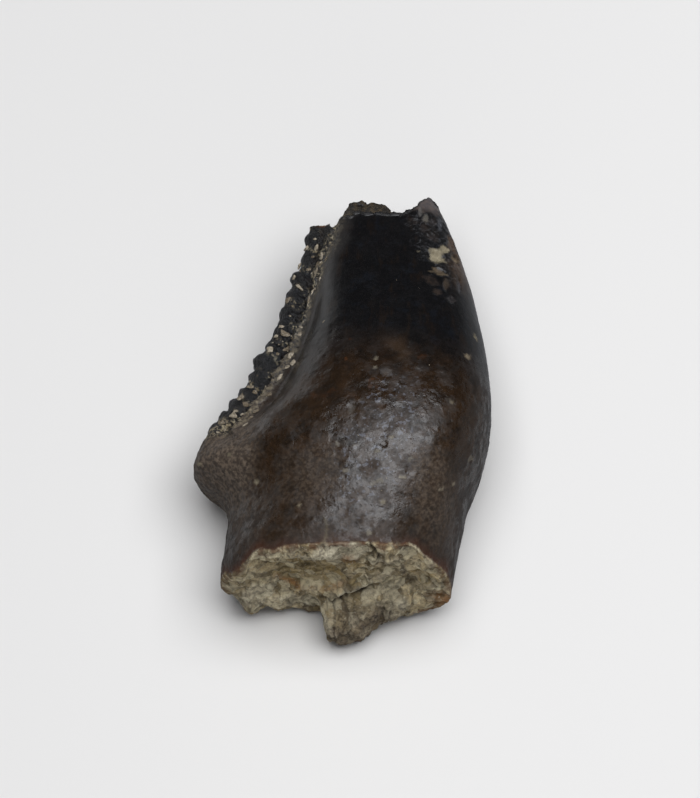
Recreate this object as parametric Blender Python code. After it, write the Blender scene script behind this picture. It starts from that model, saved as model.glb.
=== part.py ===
"""A fossil tooth crown of a dome-headed dinosaur, with a stub of its root.

The tooth lies on its flatter, tongue-side face. +Y runs along the tooth from
the broken root to the broken tip, +X is across it, +Z is up through the bulging
outer face. The origin is on the resting plane, below the middle of its box.
Every driving dimension below is in millimetres.
"""

import math

import bmesh
import bpy
from mathutils import Matrix, Vector, noise

MM = 0.001

# ---------------------------------------------------------------- crown body
# Cross-sections of the thick body, from past the root break to past the tip:
# y, left side, right side, crest x, height of the widest line, top, underside
BODY = (
    (-5.90, -2.80, 2.12, -0.05, 1.15, 3.60, 0.34),
    (-4.40, -2.92, 2.27, 0.00, 1.15, 3.85, 0.20),
    (-3.90, -2.92, 2.36, 0.12, 1.25, 3.97, 0.12),
    (-3.15, -2.75, 2.50, 0.45, 1.40, 4.16, 0.01),
    (-2.40, -2.58, 2.68, 0.78, 1.55, 4.34, -0.10),
    (-1.70, -2.92, 2.94, 0.98, 1.70, 4.44, -0.18),
    (-0.90, -2.44, 3.13, 1.08, 1.80, 4.45, -0.22),
    (-0.20, -1.76, 3.18, 1.12, 1.90, 4.33, -0.20),
    (0.60, -1.30, 3.13, 1.12, 1.95, 4.11, -0.13),
    (1.40, -0.99, 3.02, 1.10, 2.00, 3.86, -0.01),
    (2.20, -0.80, 2.86, 1.08, 2.05, 3.60, 0.22),
    (2.90, -0.74, 2.70, 1.06, 2.08, 3.38, 0.48),
    (3.60, -0.66, 2.50, 1.04, 2.10, 3.17, 0.75),
    (4.40, -0.50, 2.22, 1.02, 2.10, 2.94, 1.00),
    (5.60, 0.10, 1.74, 0.95, 2.10, 2.58, 1.28),
)
UNDERSIDE_ROUNDNESS = 2.35  # 2 is an ellipse, more is boxier
# The outer face is squarer towards the tip: y, roundness on each side of the crest
OUTER_ROUNDNESS = (
    (-6.0, 2.10, 2.20),
    (-4.2, 2.10, 2.20),
    (-2.6, 1.95, 2.74),
    (-1.2, 2.10, 2.80),
    (0.6, 2.60, 2.80),
    (2.0, 2.80, 2.72),
    (4.0, 3.10, 2.60),
    (6.0, 3.10, 2.50),
)
BODY_RINGS = 46
BODY_RING_POINTS = 44

# ------------------------------------------------------------- denticled keel
# The thin flange down the left side: y, its free edge, half its thickness,
# height of its middle plane
KEEL = (
    (-3.60, -2.62, 0.80, 1.35),
    (-3.15, -2.88, 1.10, 1.42),
    (-2.70, -3.08, 1.28, 1.50),
    (-2.20, -3.28, 1.32, 1.58),
    (-1.68, -3.533, 1.24, 1.66),
    (-1.20, -3.48, 1.04, 1.76),
    (-0.80, -3.30, 0.84, 1.84),
    (-0.20, -2.86, 0.66, 1.92),
    (0.50, -2.42, 0.57, 1.98),
    (1.20, -2.06, 0.53, 2.02),
    (2.00, -1.73, 0.51, 2.05),
    (2.80, -1.46, 0.49, 2.07),
    (3.60, -1.18, 0.47, 2.09),
    (4.40, -0.98, 0.45, 2.10),
    (5.00, -0.84, 0.43, 2.10),
)
# Across the keel: distance in from the free edge, share of the half thickness.
# The beads stand on a lower band, and the smooth enamel starts at a step.
KEEL_PROFILE = (
    (0.00, 0.00),
    (0.03, 0.30),
    (0.12, 0.46),
    (0.34, 0.60),
    (0.54, 0.66),
    (0.64, 0.94),
    (0.90, 1.00),
)
KEEL_ROOT_X = 1.0  # its inner end, buried in the body
KEEL_RINGS = 34

# ------------------------------------------------------------------ denticles
DENTICLES = 14
DENTICLE_FIRST_Y = -0.78  # the lowest one, at the swollen base
DENTICLE_PITCH = 0.345  # along the edge, between the two lowest
DENTICLE_PITCH_GROWTH = 0.0131  # each next gap is wider by this
DENTICLE_WIDTH = 0.36
DENTICLE_LENGTH = 0.74  # across the keel
DENTICLE_THICKNESS = 0.80  # outer face to inner face
DENTICLE_PROUD = 0.10  # how far the beads stand out past the keel's edge
DENTICLE_LEAN = math.radians(25)  # how far each one leans towards the tip
# Each bead's own width, and how much more or less it stands out, from the base up
BEAD_SIZE = (1.02, 1.06, 1.02, 0.96, 1.06, 1.02, 1.14, 0.94, 1.02, 0.96, 0.92, 1.02, 1.06, 0.93)
BEAD_PROUD = (
    -0.06, 0.02, 0.05, 0.02, -0.03, -0.04, 0.05, -0.06, -0.10, -0.05, -0.06, -0.03, -0.08, -0.06
)

# ---------------------------------------------------------------- the breaks
ROOT_BREAK_Y = -4.20
TIP_BREAK_Y = 4.41
BREAK_REACH = 1.8
# How much further the underside of the root reaches, across the tooth: x, distance
SPUR = (
    (-0.68, 0.0), (-0.54, 0.74), (-0.30, 0.74), (0.0, 0.72), (0.25, 0.74), (0.42, 0.58),
    (0.70, 0.28), (1.00, 0.20), (1.40, 0.25), (1.80, 0.14), (2.20, 0.04), (2.60, 0.0),
)
# The sharp peak on the right of the tip break: x, height
TIP_PEAK = (
    (1.30, 0.0),
    (1.46, 0.12),
    (1.62, 0.38),
    (1.80, 0.62),
    (1.94, 0.46),
    (2.12, 0.20),
    (2.30, 0.0),
)
BREAK_GRID_X = 42
BREAK_GRID_Z = 30

# ------------------------------------------------------- resting plane, frame
REST_PLANE_Z = 0.0  # the underside is worn flat where it lies
FRAME_SHIFT = (0.1848, 0.0833, 0.0)  # brings the middle of the box over the origin

SEED_OFFSET = Vector((17.3, 4.1, 9.7))


def smooth(t):
    t = min(max(t, 0.0), 1.0)
    return t * t * (3.0 - 2.0 * t)


def bump(t):
    """1 at 0, falling smoothly to 0 at -1 and 1."""
    return smooth(1.0 - abs(t))


def along(table, y):
    """Reads a table of stations at y with a smooth curve through its rows."""
    ys = [row[0] for row in table]
    y = min(max(y, ys[0]), ys[-1])
    i = 0
    while i < len(ys) - 2 and y > ys[i + 1]:
        i += 1
    y0, y1 = ys[i], ys[i + 1]
    h = y1 - y0
    t = (y - y0) / h
    out = []
    for c in range(1, len(table[0])):
        p0, p1 = table[i][c], table[i + 1][c]
        before = (p0 - table[i - 1][c]) / (y0 - ys[i - 1]) if i > 0 else (p1 - p0) / h
        after = (
            (table[i + 2][c] - p1) / (ys[i + 2] - y1)
            if i + 2 < len(ys)
            else (p1 - p0) / h
        )
        here = (p1 - p0) / h
        m0 = 0.5 * (before + here)
        m1 = 0.5 * (here + after)
        out.append(
            (2 * t**3 - 3 * t**2 + 1) * p0
            + (t**3 - 2 * t**2 + t) * h * m0
            + (-2 * t**3 + 3 * t**2) * p1
            + (t**3 - t**2) * h * m1
        )
    return out


def super_point(angle, power):
    """A point on the unit superellipse."""
    c, s = math.cos(angle), math.sin(angle)
    return (
        math.copysign(abs(c) ** (2.0 / power), c),
        math.copysign(abs(s) ** (2.0 / power), s),
    )


def body_ring(y):
    left, right, crest, wide, top, under = along(BODY, y)
    outer_left, outer_right = along(OUTER_ROUNDNESS, y)
    ring = []
    for k in range(BODY_RING_POINTS):
        angle = 2.0 * math.pi * k / BODY_RING_POINTS
        power = UNDERSIDE_ROUNDNESS
        if math.sin(angle) > 0:
            power = outer_right if math.cos(angle) > 0 else outer_left
        u, v = super_point(angle, power)
        x = crest + (right - crest if u > 0 else crest - left) * u
        z = wide + (top - wide if v > 0 else wide - under) * v
        ring.append((x, y, z))
    return ring


def keel_edge(y):
    """The free edge of the keel itself, inside the row of beads."""
    beads = smooth((y + 1.35) / 0.7)
    return along(KEEL, y)[0] + DENTICLE_PROUD * beads


def keel_ring(y):
    edge = keel_edge(y)
    full, middle = along(KEEL, y)[1:]
    beads = smooth((y + 1.5) / 0.8)
    upper, lower = [], []
    for distance, share in KEEL_PROFILE:
        round_edge = math.sqrt(max(0.0, 1.0 - (1.0 - distance / 0.9) ** 2.2))
        half = full * (share * beads + round_edge * (1.0 - beads))
        upper.append((edge + distance, y, middle + half))
        lower.append((edge + distance, y, middle - half))
    inner = max(KEEL_ROOT_X, edge + 1.6)
    upper.append((inner, y, middle + full))
    lower.append((inner, y, middle - full))
    return upper + lower[:0:-1]


def loft(name, rings, collection):
    """A closed body through rings that all have the same number of points."""
    bm = bmesh.new()
    loops = [[bm.verts.new([c * MM for c in p]) for p in ring] for ring in rings]
    n = len(loops[0])
    for a, b in zip(loops, loops[1:]):
        for k in range(n):
            bm.faces.new((a[k], a[(k + 1) % n], b[(k + 1) % n], b[k]))
    bm.faces.new(loops[0])
    bm.faces.new(loops[-1])
    bmesh.ops.recalc_face_normals(bm, faces=bm.faces)
    return finish_mesh(name, bm, collection)


def finish_mesh(name, bm, collection):
    mesh = bpy.data.meshes.new(name)
    bm.to_mesh(mesh)
    bm.free()
    obj = bpy.data.objects.new(name, mesh)
    collection.objects.link(obj)
    return obj


def spread(first, last, count):
    return [first + (last - first) * k / (count - 1) for k in range(count)]


def denticle_places():
    """Walks up the free edge and stops at each bead."""
    y, places, travelled, target = DENTICLE_FIRST_Y, [], 0.0, 0.0
    step = 0.005
    x = along(KEEL, y)[0]
    for index in range(DENTICLES):
        while travelled < target:
            ahead = along(KEEL, y + step)[0]
            travelled += math.hypot(ahead - x, step)
            x, y = ahead, y + step
        places.append((x, y))
        target += DENTICLE_PITCH + DENTICLE_PITCH_GROWTH * index
    return places


def make_denticle(index, place, collection):
    """One bead of the cutting edge: an egg leaning towards the tip."""
    x, y = place
    middle = along(KEEL, y)[2]
    run = math.atan2(0.4, along(KEEL, y + 0.2)[0] - along(KEEL, y - 0.2)[0])
    angle = run - math.pi / 2.0 - DENTICLE_LEAN
    # the beads are fuller low down and more worn near the tip
    wear = index / (DENTICLES - 1)
    size = BEAD_SIZE[index]
    inward = DENTICLE_LENGTH * 0.5 - BEAD_PROUD[index]
    bm = bmesh.new()
    bmesh.ops.create_uvsphere(bm, u_segments=14, v_segments=10, radius=1.0)
    shape = Matrix.Diagonal(
        (
            DENTICLE_LENGTH * 0.5 * MM,
            DENTICLE_WIDTH * 0.5 * size * MM,
            DENTICLE_THICKNESS * (0.5 - 0.05 * wear) * MM,
            1.0,
        )
    )
    turn = Matrix.Rotation(angle, 4, "Z")
    move = Matrix.Translation(
        Vector(
            (
                (x + inward * math.cos(angle)) * MM,
                (y + inward * math.sin(angle)) * MM,
                (middle + 0.02 * math.sin(3.1 * index)) * MM,
            )
        )
    )
    bmesh.ops.transform(bm, matrix=move @ turn @ shape, verts=bm.verts)
    return finish_mesh("denticle_%02d" % index, bm, collection)


def rough(x, z, size, seed):
    return noise.noise(Vector((x / size, z / size, seed)) + SEED_OFFSET)


def step(low, high, t):
    """0 before low, 1 after high, or the other way round if low is the larger."""
    return smooth((t - low) / (high - low))


def straight(table, x):
    """Reads a two-column table at x, with straight lines between its rows."""
    if x <= table[0][0]:
        return table[0][1]
    for (x0, a), (x1, b) in zip(table, table[1:]):
        if x <= x1:
            return a + (b - a) * (x - x0) / (x1 - x0)
    return table[-1][1]


def root_break(x, z):
    """How far along the tooth the root is left standing, at each point."""
    y = ROOT_BREAK_Y - 0.10 * math.cos(1.1 * (x + 0.3))
    # a leaf-shaped hollow where a scale has come away
    leaf = math.hypot((x + 1.05) / 1.02, (z - 2.08 + 0.10 * x) / 0.72)
    y += 0.15 * step(1.02, 0.72, leaf)
    # the spur that is left on the underside
    line = 1.36 + 0.14 * math.sin(2.3 * x) + 0.16 * x
    y -= 1.16 * step(0.08, -0.50, z - line) * straight(SPUR, x)
    # the enamel is left standing further down both sides
    y -= step(1.3, 2.0, x) * (0.20 + 0.06 * step(2.3, 1.3, z))
    y -= 0.24 * step(-2.05, -2.5, x) * step(-2.98, -2.60, x) * step(0.9, 1.3, z)
    # a low point at the lower left corner
    y -= 0.34 * bump((x + 2.26) / 0.42) * step(1.5, 0.6, z)
    y += 0.12 * rough(x, z, 0.62, 1.0) + 0.08 * rough(x, z, 0.30, 5.0)
    return y


def tip_break(x, z):
    """How far along the tooth the crown is left standing, at each point."""
    y = TIP_BREAK_Y + 0.02 * math.sin(5.0 * x)
    # the core stands proud of the outer enamel as a low brown hump
    core = step(2.74, 2.60, z) * step(1.25, 1.65, z)
    y += 0.46 * core * max(0.0, 1.0 - ((x - 0.43) / 0.62) ** 2) ** 0.6
    # the sharp peak at the right-hand edge
    y += straight(TIP_PEAK, x) * step(1.7, 2.1, z)
    # the keel ends in its own rounded shoulder, after a notch
    y -= 0.26 * step(0.13, 0.04, abs(x + 0.33))
    y -= step(-0.32, -0.42, x) * (0.06 + 0.55 * max(0.0, abs(x + 0.63) - 0.16) ** 1.5)
    y += 0.05 * rough(x, z, 0.35, 8.0)
    return y


def break_cutter(name, height, side, collection):
    """A block whose working face follows height(x, z); side -1 cuts the root."""
    low_x, high_x, low_z, high_z = -4.4, 4.0, -1.0, 5.4
    bm = bmesh.new()
    bmesh.ops.create_grid(
        bm, x_segments=BREAK_GRID_X, y_segments=BREAK_GRID_Z, size=0.5
    )
    for v in bm.verts:
        x = low_x + (v.co.x + 0.5) * (high_x - low_x)
        z = low_z + (v.co.y + 0.5) * (high_z - low_z)
        v.co = Vector((x * MM, height(x, z) * MM, z * MM))
    made = bmesh.ops.extrude_face_region(bm, geom=list(bm.faces))
    far = (ROOT_BREAK_Y if side < 0 else TIP_BREAK_Y) + side * BREAK_REACH
    for v in made["geom"]:
        if isinstance(v, bmesh.types.BMVert):
            v.co.y = far * MM
    bmesh.ops.triangulate(bm, faces=[f for f in bm.faces if f.is_valid])
    bmesh.ops.recalc_face_normals(bm, faces=bm.faces)
    return finish_mesh(name, bm, collection)


def box_cutter(name, low, high, collection):
    bm = bmesh.new()
    bmesh.ops.create_cube(bm, size=1.0)
    size = [(b - a) * MM for a, b in zip(low, high)]
    middle = [0.5 * (a + b) * MM for a, b in zip(low, high)]
    bmesh.ops.transform(
        bm,
        matrix=Matrix.Translation(middle) @ Matrix.Diagonal((*size, 1.0)),
        verts=bm.verts,
    )
    return finish_mesh(name, bm, collection)


def boolean(obj, name, operation, target=None, group=None):
    mod = obj.modifiers.new(name, "BOOLEAN")
    mod.operation = operation
    mod.solver = "EXACT"
    if group is not None:
        mod.operand_type = "COLLECTION"
        mod.collection = group
    else:
        mod.object = target
    return mod


def enamel_material():
    mat = bpy.data.materials.new("tooth")
    mat.use_nodes = True
    shader = mat.node_tree.nodes["Principled BSDF"]
    shader.inputs["Base Color"].default_value = (0.034, 0.024, 0.018, 1.0)
    shader.inputs["Roughness"].default_value = 0.38
    shader.inputs["Metallic"].default_value = 0.0
    return mat


def new_collection(name):
    group = bpy.data.collections.new(name)
    bpy.context.scene.collection.children.link(group)
    return group


def as_helper(obj):
    obj.hide_render = True
    obj.display_type = "WIRE"


def build():
    for obj in list(bpy.data.objects):
        bpy.data.objects.remove(obj, do_unlink=True)

    parts = new_collection("fossil_tooth")
    cutters = new_collection("cutters")
    beads = new_collection("denticles")

    tooth = loft(
        "tooth",
        [body_ring(y) for y in spread(BODY[0][0], BODY[-1][0], BODY_RINGS)],
        parts,
    )
    tooth.data.materials.append(enamel_material())

    keel = loft(
        "keel",
        [keel_ring(y) for y in spread(KEEL[0][0], KEEL[-1][0], KEEL_RINGS)],
        cutters,
    )
    as_helper(keel)
    for index, place in enumerate(denticle_places()):
        as_helper(make_denticle(index, place, beads))
    root_cutter = break_cutter("root_cutter", root_break, -1, cutters)
    tip_cutter = break_cutter("tip_cutter", tip_break, 1, cutters)
    floor_cutter = box_cutter(
        "floor_cutter", (-6.0, -8.0, -3.0), (6.0, 8.0, REST_PLANE_Z), cutters
    )
    for cutter in (root_cutter, tip_cutter, floor_cutter):
        as_helper(cutter)

    frame = bpy.data.objects.new("tooth_frame", None)
    frame.location = [c * MM for c in FRAME_SHIFT]
    parts.objects.link(frame)
    for obj in (tooth, keel, root_cutter, tip_cutter, floor_cutter, *beads.objects):
        obj.parent = frame

    boolean(tooth, "add_keel", "UNION", target=keel)
    boolean(tooth, "add_denticles", "UNION", group=beads)
    boolean(tooth, "break_root", "DIFFERENCE", target=root_cutter)
    boolean(tooth, "break_tip", "DIFFERENCE", target=tip_cutter)
    boolean(tooth, "rest_facet", "DIFFERENCE", target=floor_cutter)


build()
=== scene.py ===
import math

import bmesh
import bpy
import numpy as np
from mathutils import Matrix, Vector


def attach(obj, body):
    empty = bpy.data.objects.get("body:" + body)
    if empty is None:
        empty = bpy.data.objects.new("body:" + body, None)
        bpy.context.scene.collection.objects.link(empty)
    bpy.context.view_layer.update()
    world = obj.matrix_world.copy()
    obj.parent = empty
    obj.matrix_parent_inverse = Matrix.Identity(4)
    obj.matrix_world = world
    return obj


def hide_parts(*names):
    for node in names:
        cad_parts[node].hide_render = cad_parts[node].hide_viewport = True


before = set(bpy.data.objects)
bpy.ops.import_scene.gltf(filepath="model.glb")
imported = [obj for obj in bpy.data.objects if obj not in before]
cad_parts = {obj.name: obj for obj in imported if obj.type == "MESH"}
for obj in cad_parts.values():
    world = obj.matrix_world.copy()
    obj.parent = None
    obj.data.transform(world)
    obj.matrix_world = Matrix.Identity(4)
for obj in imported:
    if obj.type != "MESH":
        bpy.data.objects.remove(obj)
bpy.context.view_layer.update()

# The fine surface of the fossil tooth is made in code: a smooth distance field for
# the crown, keel, beads and breaks is turned into one closed mesh, roughened along
# its normals, and painted by procedural materials that read a few per-point masks.
# Lengths below are in millimetres unless a name says otherwise.

MM = 0.001
SHIFT = np.array((0.1848, 0.0833, 0.0))  # the part's frame, from the modelling frame
ORIGIN = np.array((0.0, 0.0, 0.0))

# ------------------------------------------------------------------ dimensions
BODY = (
    (-5.90, -2.80, 2.12, -0.05, 1.15, 3.60, 0.34),
    (-4.40, -2.92, 2.27, 0.00, 1.15, 3.85, 0.20),
    (-3.90, -2.92, 2.36, 0.12, 1.25, 3.97, 0.12),
    (-3.15, -2.75, 2.50, 0.45, 1.40, 4.16, 0.01),
    (-2.40, -2.58, 2.68, 0.78, 1.55, 4.34, -0.10),
    (-1.70, -2.92, 2.94, 0.98, 1.70, 4.44, -0.18),
    (-0.90, -2.44, 3.13, 1.08, 1.80, 4.45, -0.22),
    (-0.20, -1.76, 3.18, 1.12, 1.90, 4.33, -0.20),
    (0.60, -1.30, 3.13, 1.12, 1.95, 4.11, -0.13),
    (1.40, -0.99, 3.02, 1.10, 2.00, 3.86, -0.01),
    (2.20, -0.80, 2.86, 1.08, 2.05, 3.60, 0.22),
    (2.90, -0.74, 2.70, 1.06, 2.08, 3.38, 0.48),
    (3.60, -0.66, 2.50, 1.04, 2.10, 3.17, 0.75),
    (4.40, -0.50, 2.22, 1.02, 2.10, 2.94, 1.00),
    (5.60, 0.10, 1.74, 0.95, 2.10, 2.58, 1.28),
)
BODY_NAMES = ("left", "right", "crest", "wide", "top", "under")
KEEL = (
    (-3.60, -2.20, 0.80, 1.35),
    (-3.15, -2.40, 1.10, 1.42),
    (-2.70, -2.52, 1.28, 1.50),
    (-2.20, -2.82, 1.32, 1.58),
    (-1.68, -3.50, 1.24, 1.66),
    (-1.20, -3.48, 1.04, 1.76),
    (-0.80, -3.30, 0.84, 1.84),
    (-0.20, -2.86, 0.66, 1.92),
    (0.50, -2.42, 0.57, 1.98),
    (1.20, -2.06, 0.53, 2.02),
    (2.00, -1.73, 0.51, 2.05),
    (2.80, -1.46, 0.49, 2.07),
    (3.60, -1.18, 0.47, 2.09),
    (4.40, -0.98, 0.45, 2.10),
    (5.00, -0.84, 0.43, 2.10),
)
KEEL_NAMES = ("edge", "full", "middle")
ROUNDNESS = 2.35  # of the underside; the upper face has its own on each side
UPPER_LEFT = ((-6.0, 2.1), (-4.2, 2.1), (-2.6, 1.95), (-1.2, 2.1), (0.6, 2.6), (2.0, 2.8), (4.0, 3.1), (6.0, 3.1))
UPPER_RIGHT = ((-6.0, 2.2), (-4.2, 2.2), (-2.4, 2.8), (0.5, 2.8), (6.0, 2.5))

DENTICLES = 14
DENTICLE_FIRST_Y = -0.78
DENTICLE_PITCH = 0.345
DENTICLE_PITCH_GROWTH = 0.0131
DENTICLE_WIDTH = 0.36
DENTICLE_LENGTH = 0.74
DENTICLE_THICKNESS = 0.80
DENTICLE_PROUD = 0.10
DENTICLE_LEAN = math.radians(25)

ROOT_BREAK_Y = -4.20
TIP_BREAK_Y = 4.41
REST_PLANE_Z = 0.0

VOXEL = 0.038
TRIANGLES = 190000

# The view: the tooth lies down and is seen from above its root end.
ELEVATION = math.radians(65.0)
SCALE = 0.02268  # millimetres to one picture point
CENTRE_U, CENTRE_V = 350.0, 399.0
BASE_V = 442.5  # the picture row of the modelling frame's origin
CAMERA_DISTANCE = 250.0


# --------------------------------------------------------------------- numbers
def smoothstep(a, b, x):
    t = np.clip((x - a) / (b - a), 0.0, 1.0)
    return t * t * (3.0 - 2.0 * t)


def bump(t):
    return smoothstep(0.0, 1.0, 1.0 - np.abs(t))


def smin(a, b, k):
    h = np.clip(0.5 + 0.5 * (b - a) / k, 0.0, 1.0)
    return b * (1.0 - h) + a * h - k * h * (1.0 - h)


def smax(a, b, k):
    return -smin(-a, -b, k)


def hash01(i, j, k, seed):
    """Repeatable noise from whole numbers, 0 to 1."""
    n = (
        i.astype(np.int64) * 374761393
        + j.astype(np.int64) * 668265263
        + k.astype(np.int64) * 2147483647
        + int(seed) * 1274126177
    ) & 0xFFFFFFFF
    n = ((n ^ (n >> 13)) * 1274126177) & 0xFFFFFFFF
    n = ((n ^ (n >> 16)) * 2246822519) & 0xFFFFFFFF
    n = n ^ (n >> 15)
    return (n & 0xFFFFFF) / float(0xFFFFFF)


def value_noise(x, y, z, seed=0):
    """Smooth noise, -1 to 1, one feature to a unit."""
    xi, yi, zi = np.floor(x), np.floor(y), np.floor(z)
    xf, yf, zf = x - xi, y - yi, z - zi
    u = xf * xf * xf * (xf * (xf * 6 - 15) + 10)
    v = yf * yf * yf * (yf * (yf * 6 - 15) + 10)
    w = zf * zf * zf * (zf * (zf * 6 - 15) + 10)
    out = 0.0
    for a in (0, 1):
        wu = u if a else 1.0 - u
        for b in (0, 1):
            wv = v if b else 1.0 - v
            for c in (0, 1):
                ww = w if c else 1.0 - w
                out = out + wu * wv * ww * hash01(xi + a, yi + b, zi + c, seed)
    return out * 2.0 - 1.0


def fbm(x, y, z, size, octaves, seed=0, gain=0.5):
    total, amp, norm = 0.0, 1.0, 0.0
    for o in range(octaves):
        f = 2.03**o / size
        total = total + amp * value_noise(
            x * f + 13.7 * o, y * f - 7.1 * o, z * f + 3.9 * o, seed + o
        )
        norm += amp
        amp *= gain
    return total / norm


def plates(x, z, size, seed, squash=1.0):
    """Irregular scales on a plane: nearest and second distance, the scale's own random values, and the offset from its middle."""
    px, pz = x / size, z / (size * squash)
    ix, iz = np.floor(px), np.floor(pz)
    best = np.full(np.broadcast(px, pz).shape, 9.0)
    second = best.copy()
    rand = np.zeros_like(best)
    rand2 = np.zeros_like(best)
    rand3 = np.zeros_like(best)
    ox = np.zeros_like(best)
    oz = np.zeros_like(best)
    zero = np.zeros_like(best)
    for a in (-1, 0, 1):
        for b in (-1, 0, 1):
            cx, cz = ix + a + zero, iz + b + zero
            qx = cx + 0.1 + 0.8 * hash01(cx, cz, zero, seed)
            qz = cz + 0.1 + 0.8 * hash01(cx, cz, zero, seed + 1)
            d = np.hypot(px - qx, pz - qz)
            near = d < best
            second = np.where(near, best, np.minimum(second, d))
            best = np.where(near, d, best)
            rand = np.where(near, hash01(cx, cz, zero, seed + 2), rand)
            rand2 = np.where(near, hash01(cx, cz, zero, seed + 3), rand2)
            rand3 = np.where(near, hash01(cx, cz, zero, seed + 4), rand3)
            ox = np.where(near, px - qx, ox)
            oz = np.where(near, pz - qz, oz)
    return best, second, rand, rand2, rand3, ox, oz


def curve_through(table, at):
    """A smooth curve through each column of a table of stations."""
    rows = np.array(table)
    ys = rows[:, 0]
    h = np.diff(ys)
    at = np.clip(at, ys[0], ys[-1])
    i = np.clip(np.searchsorted(ys, at, side="left") - 1, 0, len(ys) - 2)
    t = (at - ys[i]) / h[i]
    out = []
    for c in range(1, rows.shape[1]):
        col = rows[:, c]
        slope = np.diff(col) / h
        tangent = np.empty(len(col))
        tangent[0], tangent[-1] = slope[0], slope[-1]
        tangent[1:-1] = 0.5 * (slope[:-1] + slope[1:])
        out.append(
            (2 * t**3 - 3 * t**2 + 1) * col[i]
            + (t**3 - 2 * t**2 + t) * h[i] * tangent[i]
            + (-2 * t**3 + 3 * t**2) * col[i + 1]
            + (t**3 - t**2) * h[i] * tangent[i + 1]
        )
    return out


FINE_Y = np.linspace(-6.0, 6.0, 6001)
STATION = dict(zip(BODY_NAMES, curve_through(BODY, FINE_Y)))
STATION.update(zip(KEEL_NAMES, curve_through(KEEL, FINE_Y)))


STATION["upper_left"] = curve_through(UPPER_LEFT, FINE_Y)[0]
STATION["upper_right"] = curve_through(UPPER_RIGHT, FINE_Y)[0]


def at(name, y):
    return np.interp(y, FINE_Y, STATION[name])


# ----------------------------------------------------------------- the breaks
GRID_X = np.arange(-4.6, 4.2, 0.0125)
GRID_Z = np.arange(-1.0, 5.6, 0.0125)


def read_grid(grid, x, z):
    fx = np.clip((x - GRID_X[0]) / 0.0125, 0, len(GRID_X) - 2.001)
    fz = np.clip((z - GRID_Z[0]) / 0.0125, 0, len(GRID_Z) - 2.001)
    i, j = fx.astype(int), fz.astype(int)
    a, b = fx - i, fz - j
    return (
        grid[i, j] * (1 - a) * (1 - b)
        + grid[i + 1, j] * a * (1 - b)
        + grid[i, j + 1] * (1 - a) * b
        + grid[i + 1, j + 1] * a * b
    )


def shingles(x, z, size, steps, seed):
    """Overlapping flakes: height 0 to 1, a painted shade line under each edge, and a tone."""
    zero = np.zeros(np.broadcast(x, z).shape)
    n = fbm(x + zero, z + zero, zero, size, 3, seed, 0.42)
    t = (0.5 + 0.62 * n) * steps
    low = np.floor(t)
    f = t - low
    height = (low + 0.30 * f + 0.70 * smoothstep(0.80, 1.0, f)) / steps
    edge = smoothstep(0.72, 0.86, f) * smoothstep(1.0, 0.93, f)
    patch = np.floor(x / size * 0.9 + 40.0 + 0.6 * n) + zero
    tone = hash01(low, patch, zero, seed + 9)
    return height, edge, tone


# Scales that stand out on the root break: place across and up it, half sizes, turn,
# how far each stands out, and how pale it is.
SCALES = (
    (-0.22, 3.44, 0.70, 0.50, 0.15, 0.12, 0.9),
    (-1.02, 3.20, 0.34, 0.22, -0.25, 0.06, 0.6),
    (-1.95, 2.35, 0.40, 0.26, -0.5, 0.05, 0.3),
    (-2.10, 1.20, 0.42, 0.46, 0.3, 0.07, 0.7),
    (-1.45, 0.95, 0.50, 0.34, 0.1, 0.06, 0.55),
    (-0.72, 0.78, 0.46, 0.24, -0.1, 0.08, 0.8),
    (0.10, 1.66, 0.42, 0.20, 0.45, 0.15, 0.85),
    (0.62, 2.10, 0.30, 0.30, 0.2, 0.07, 0.5),
    (0.78, 3.02, 0.36, 0.30, -0.3, 0.08, 0.55),
    (1.30, 2.52, 0.36, 0.34, -0.6, 0.06, 0.35),
    (1.08, 1.02, 0.33, 0.42, -0.2, 0.12, 0.6),
    (1.80, 1.55, 0.36, 0.24, -0.3, 0.07, 0.4),
    (0.46, 2.62, 0.28, 0.20, 0.2, 0.06, 0.3),
)


# How much further the underside of the root reaches, across the tooth.
SPUR = (
    (-0.68, 0.0), (-0.54, 0.74), (-0.30, 0.74), (0.0, 0.72), (0.25, 0.74), (0.42, 0.58),
    (0.70, 0.28), (1.00, 0.20), (1.40, 0.25), (1.80, 0.14), (2.20, 0.04), (2.60, 0.0),
)


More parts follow.
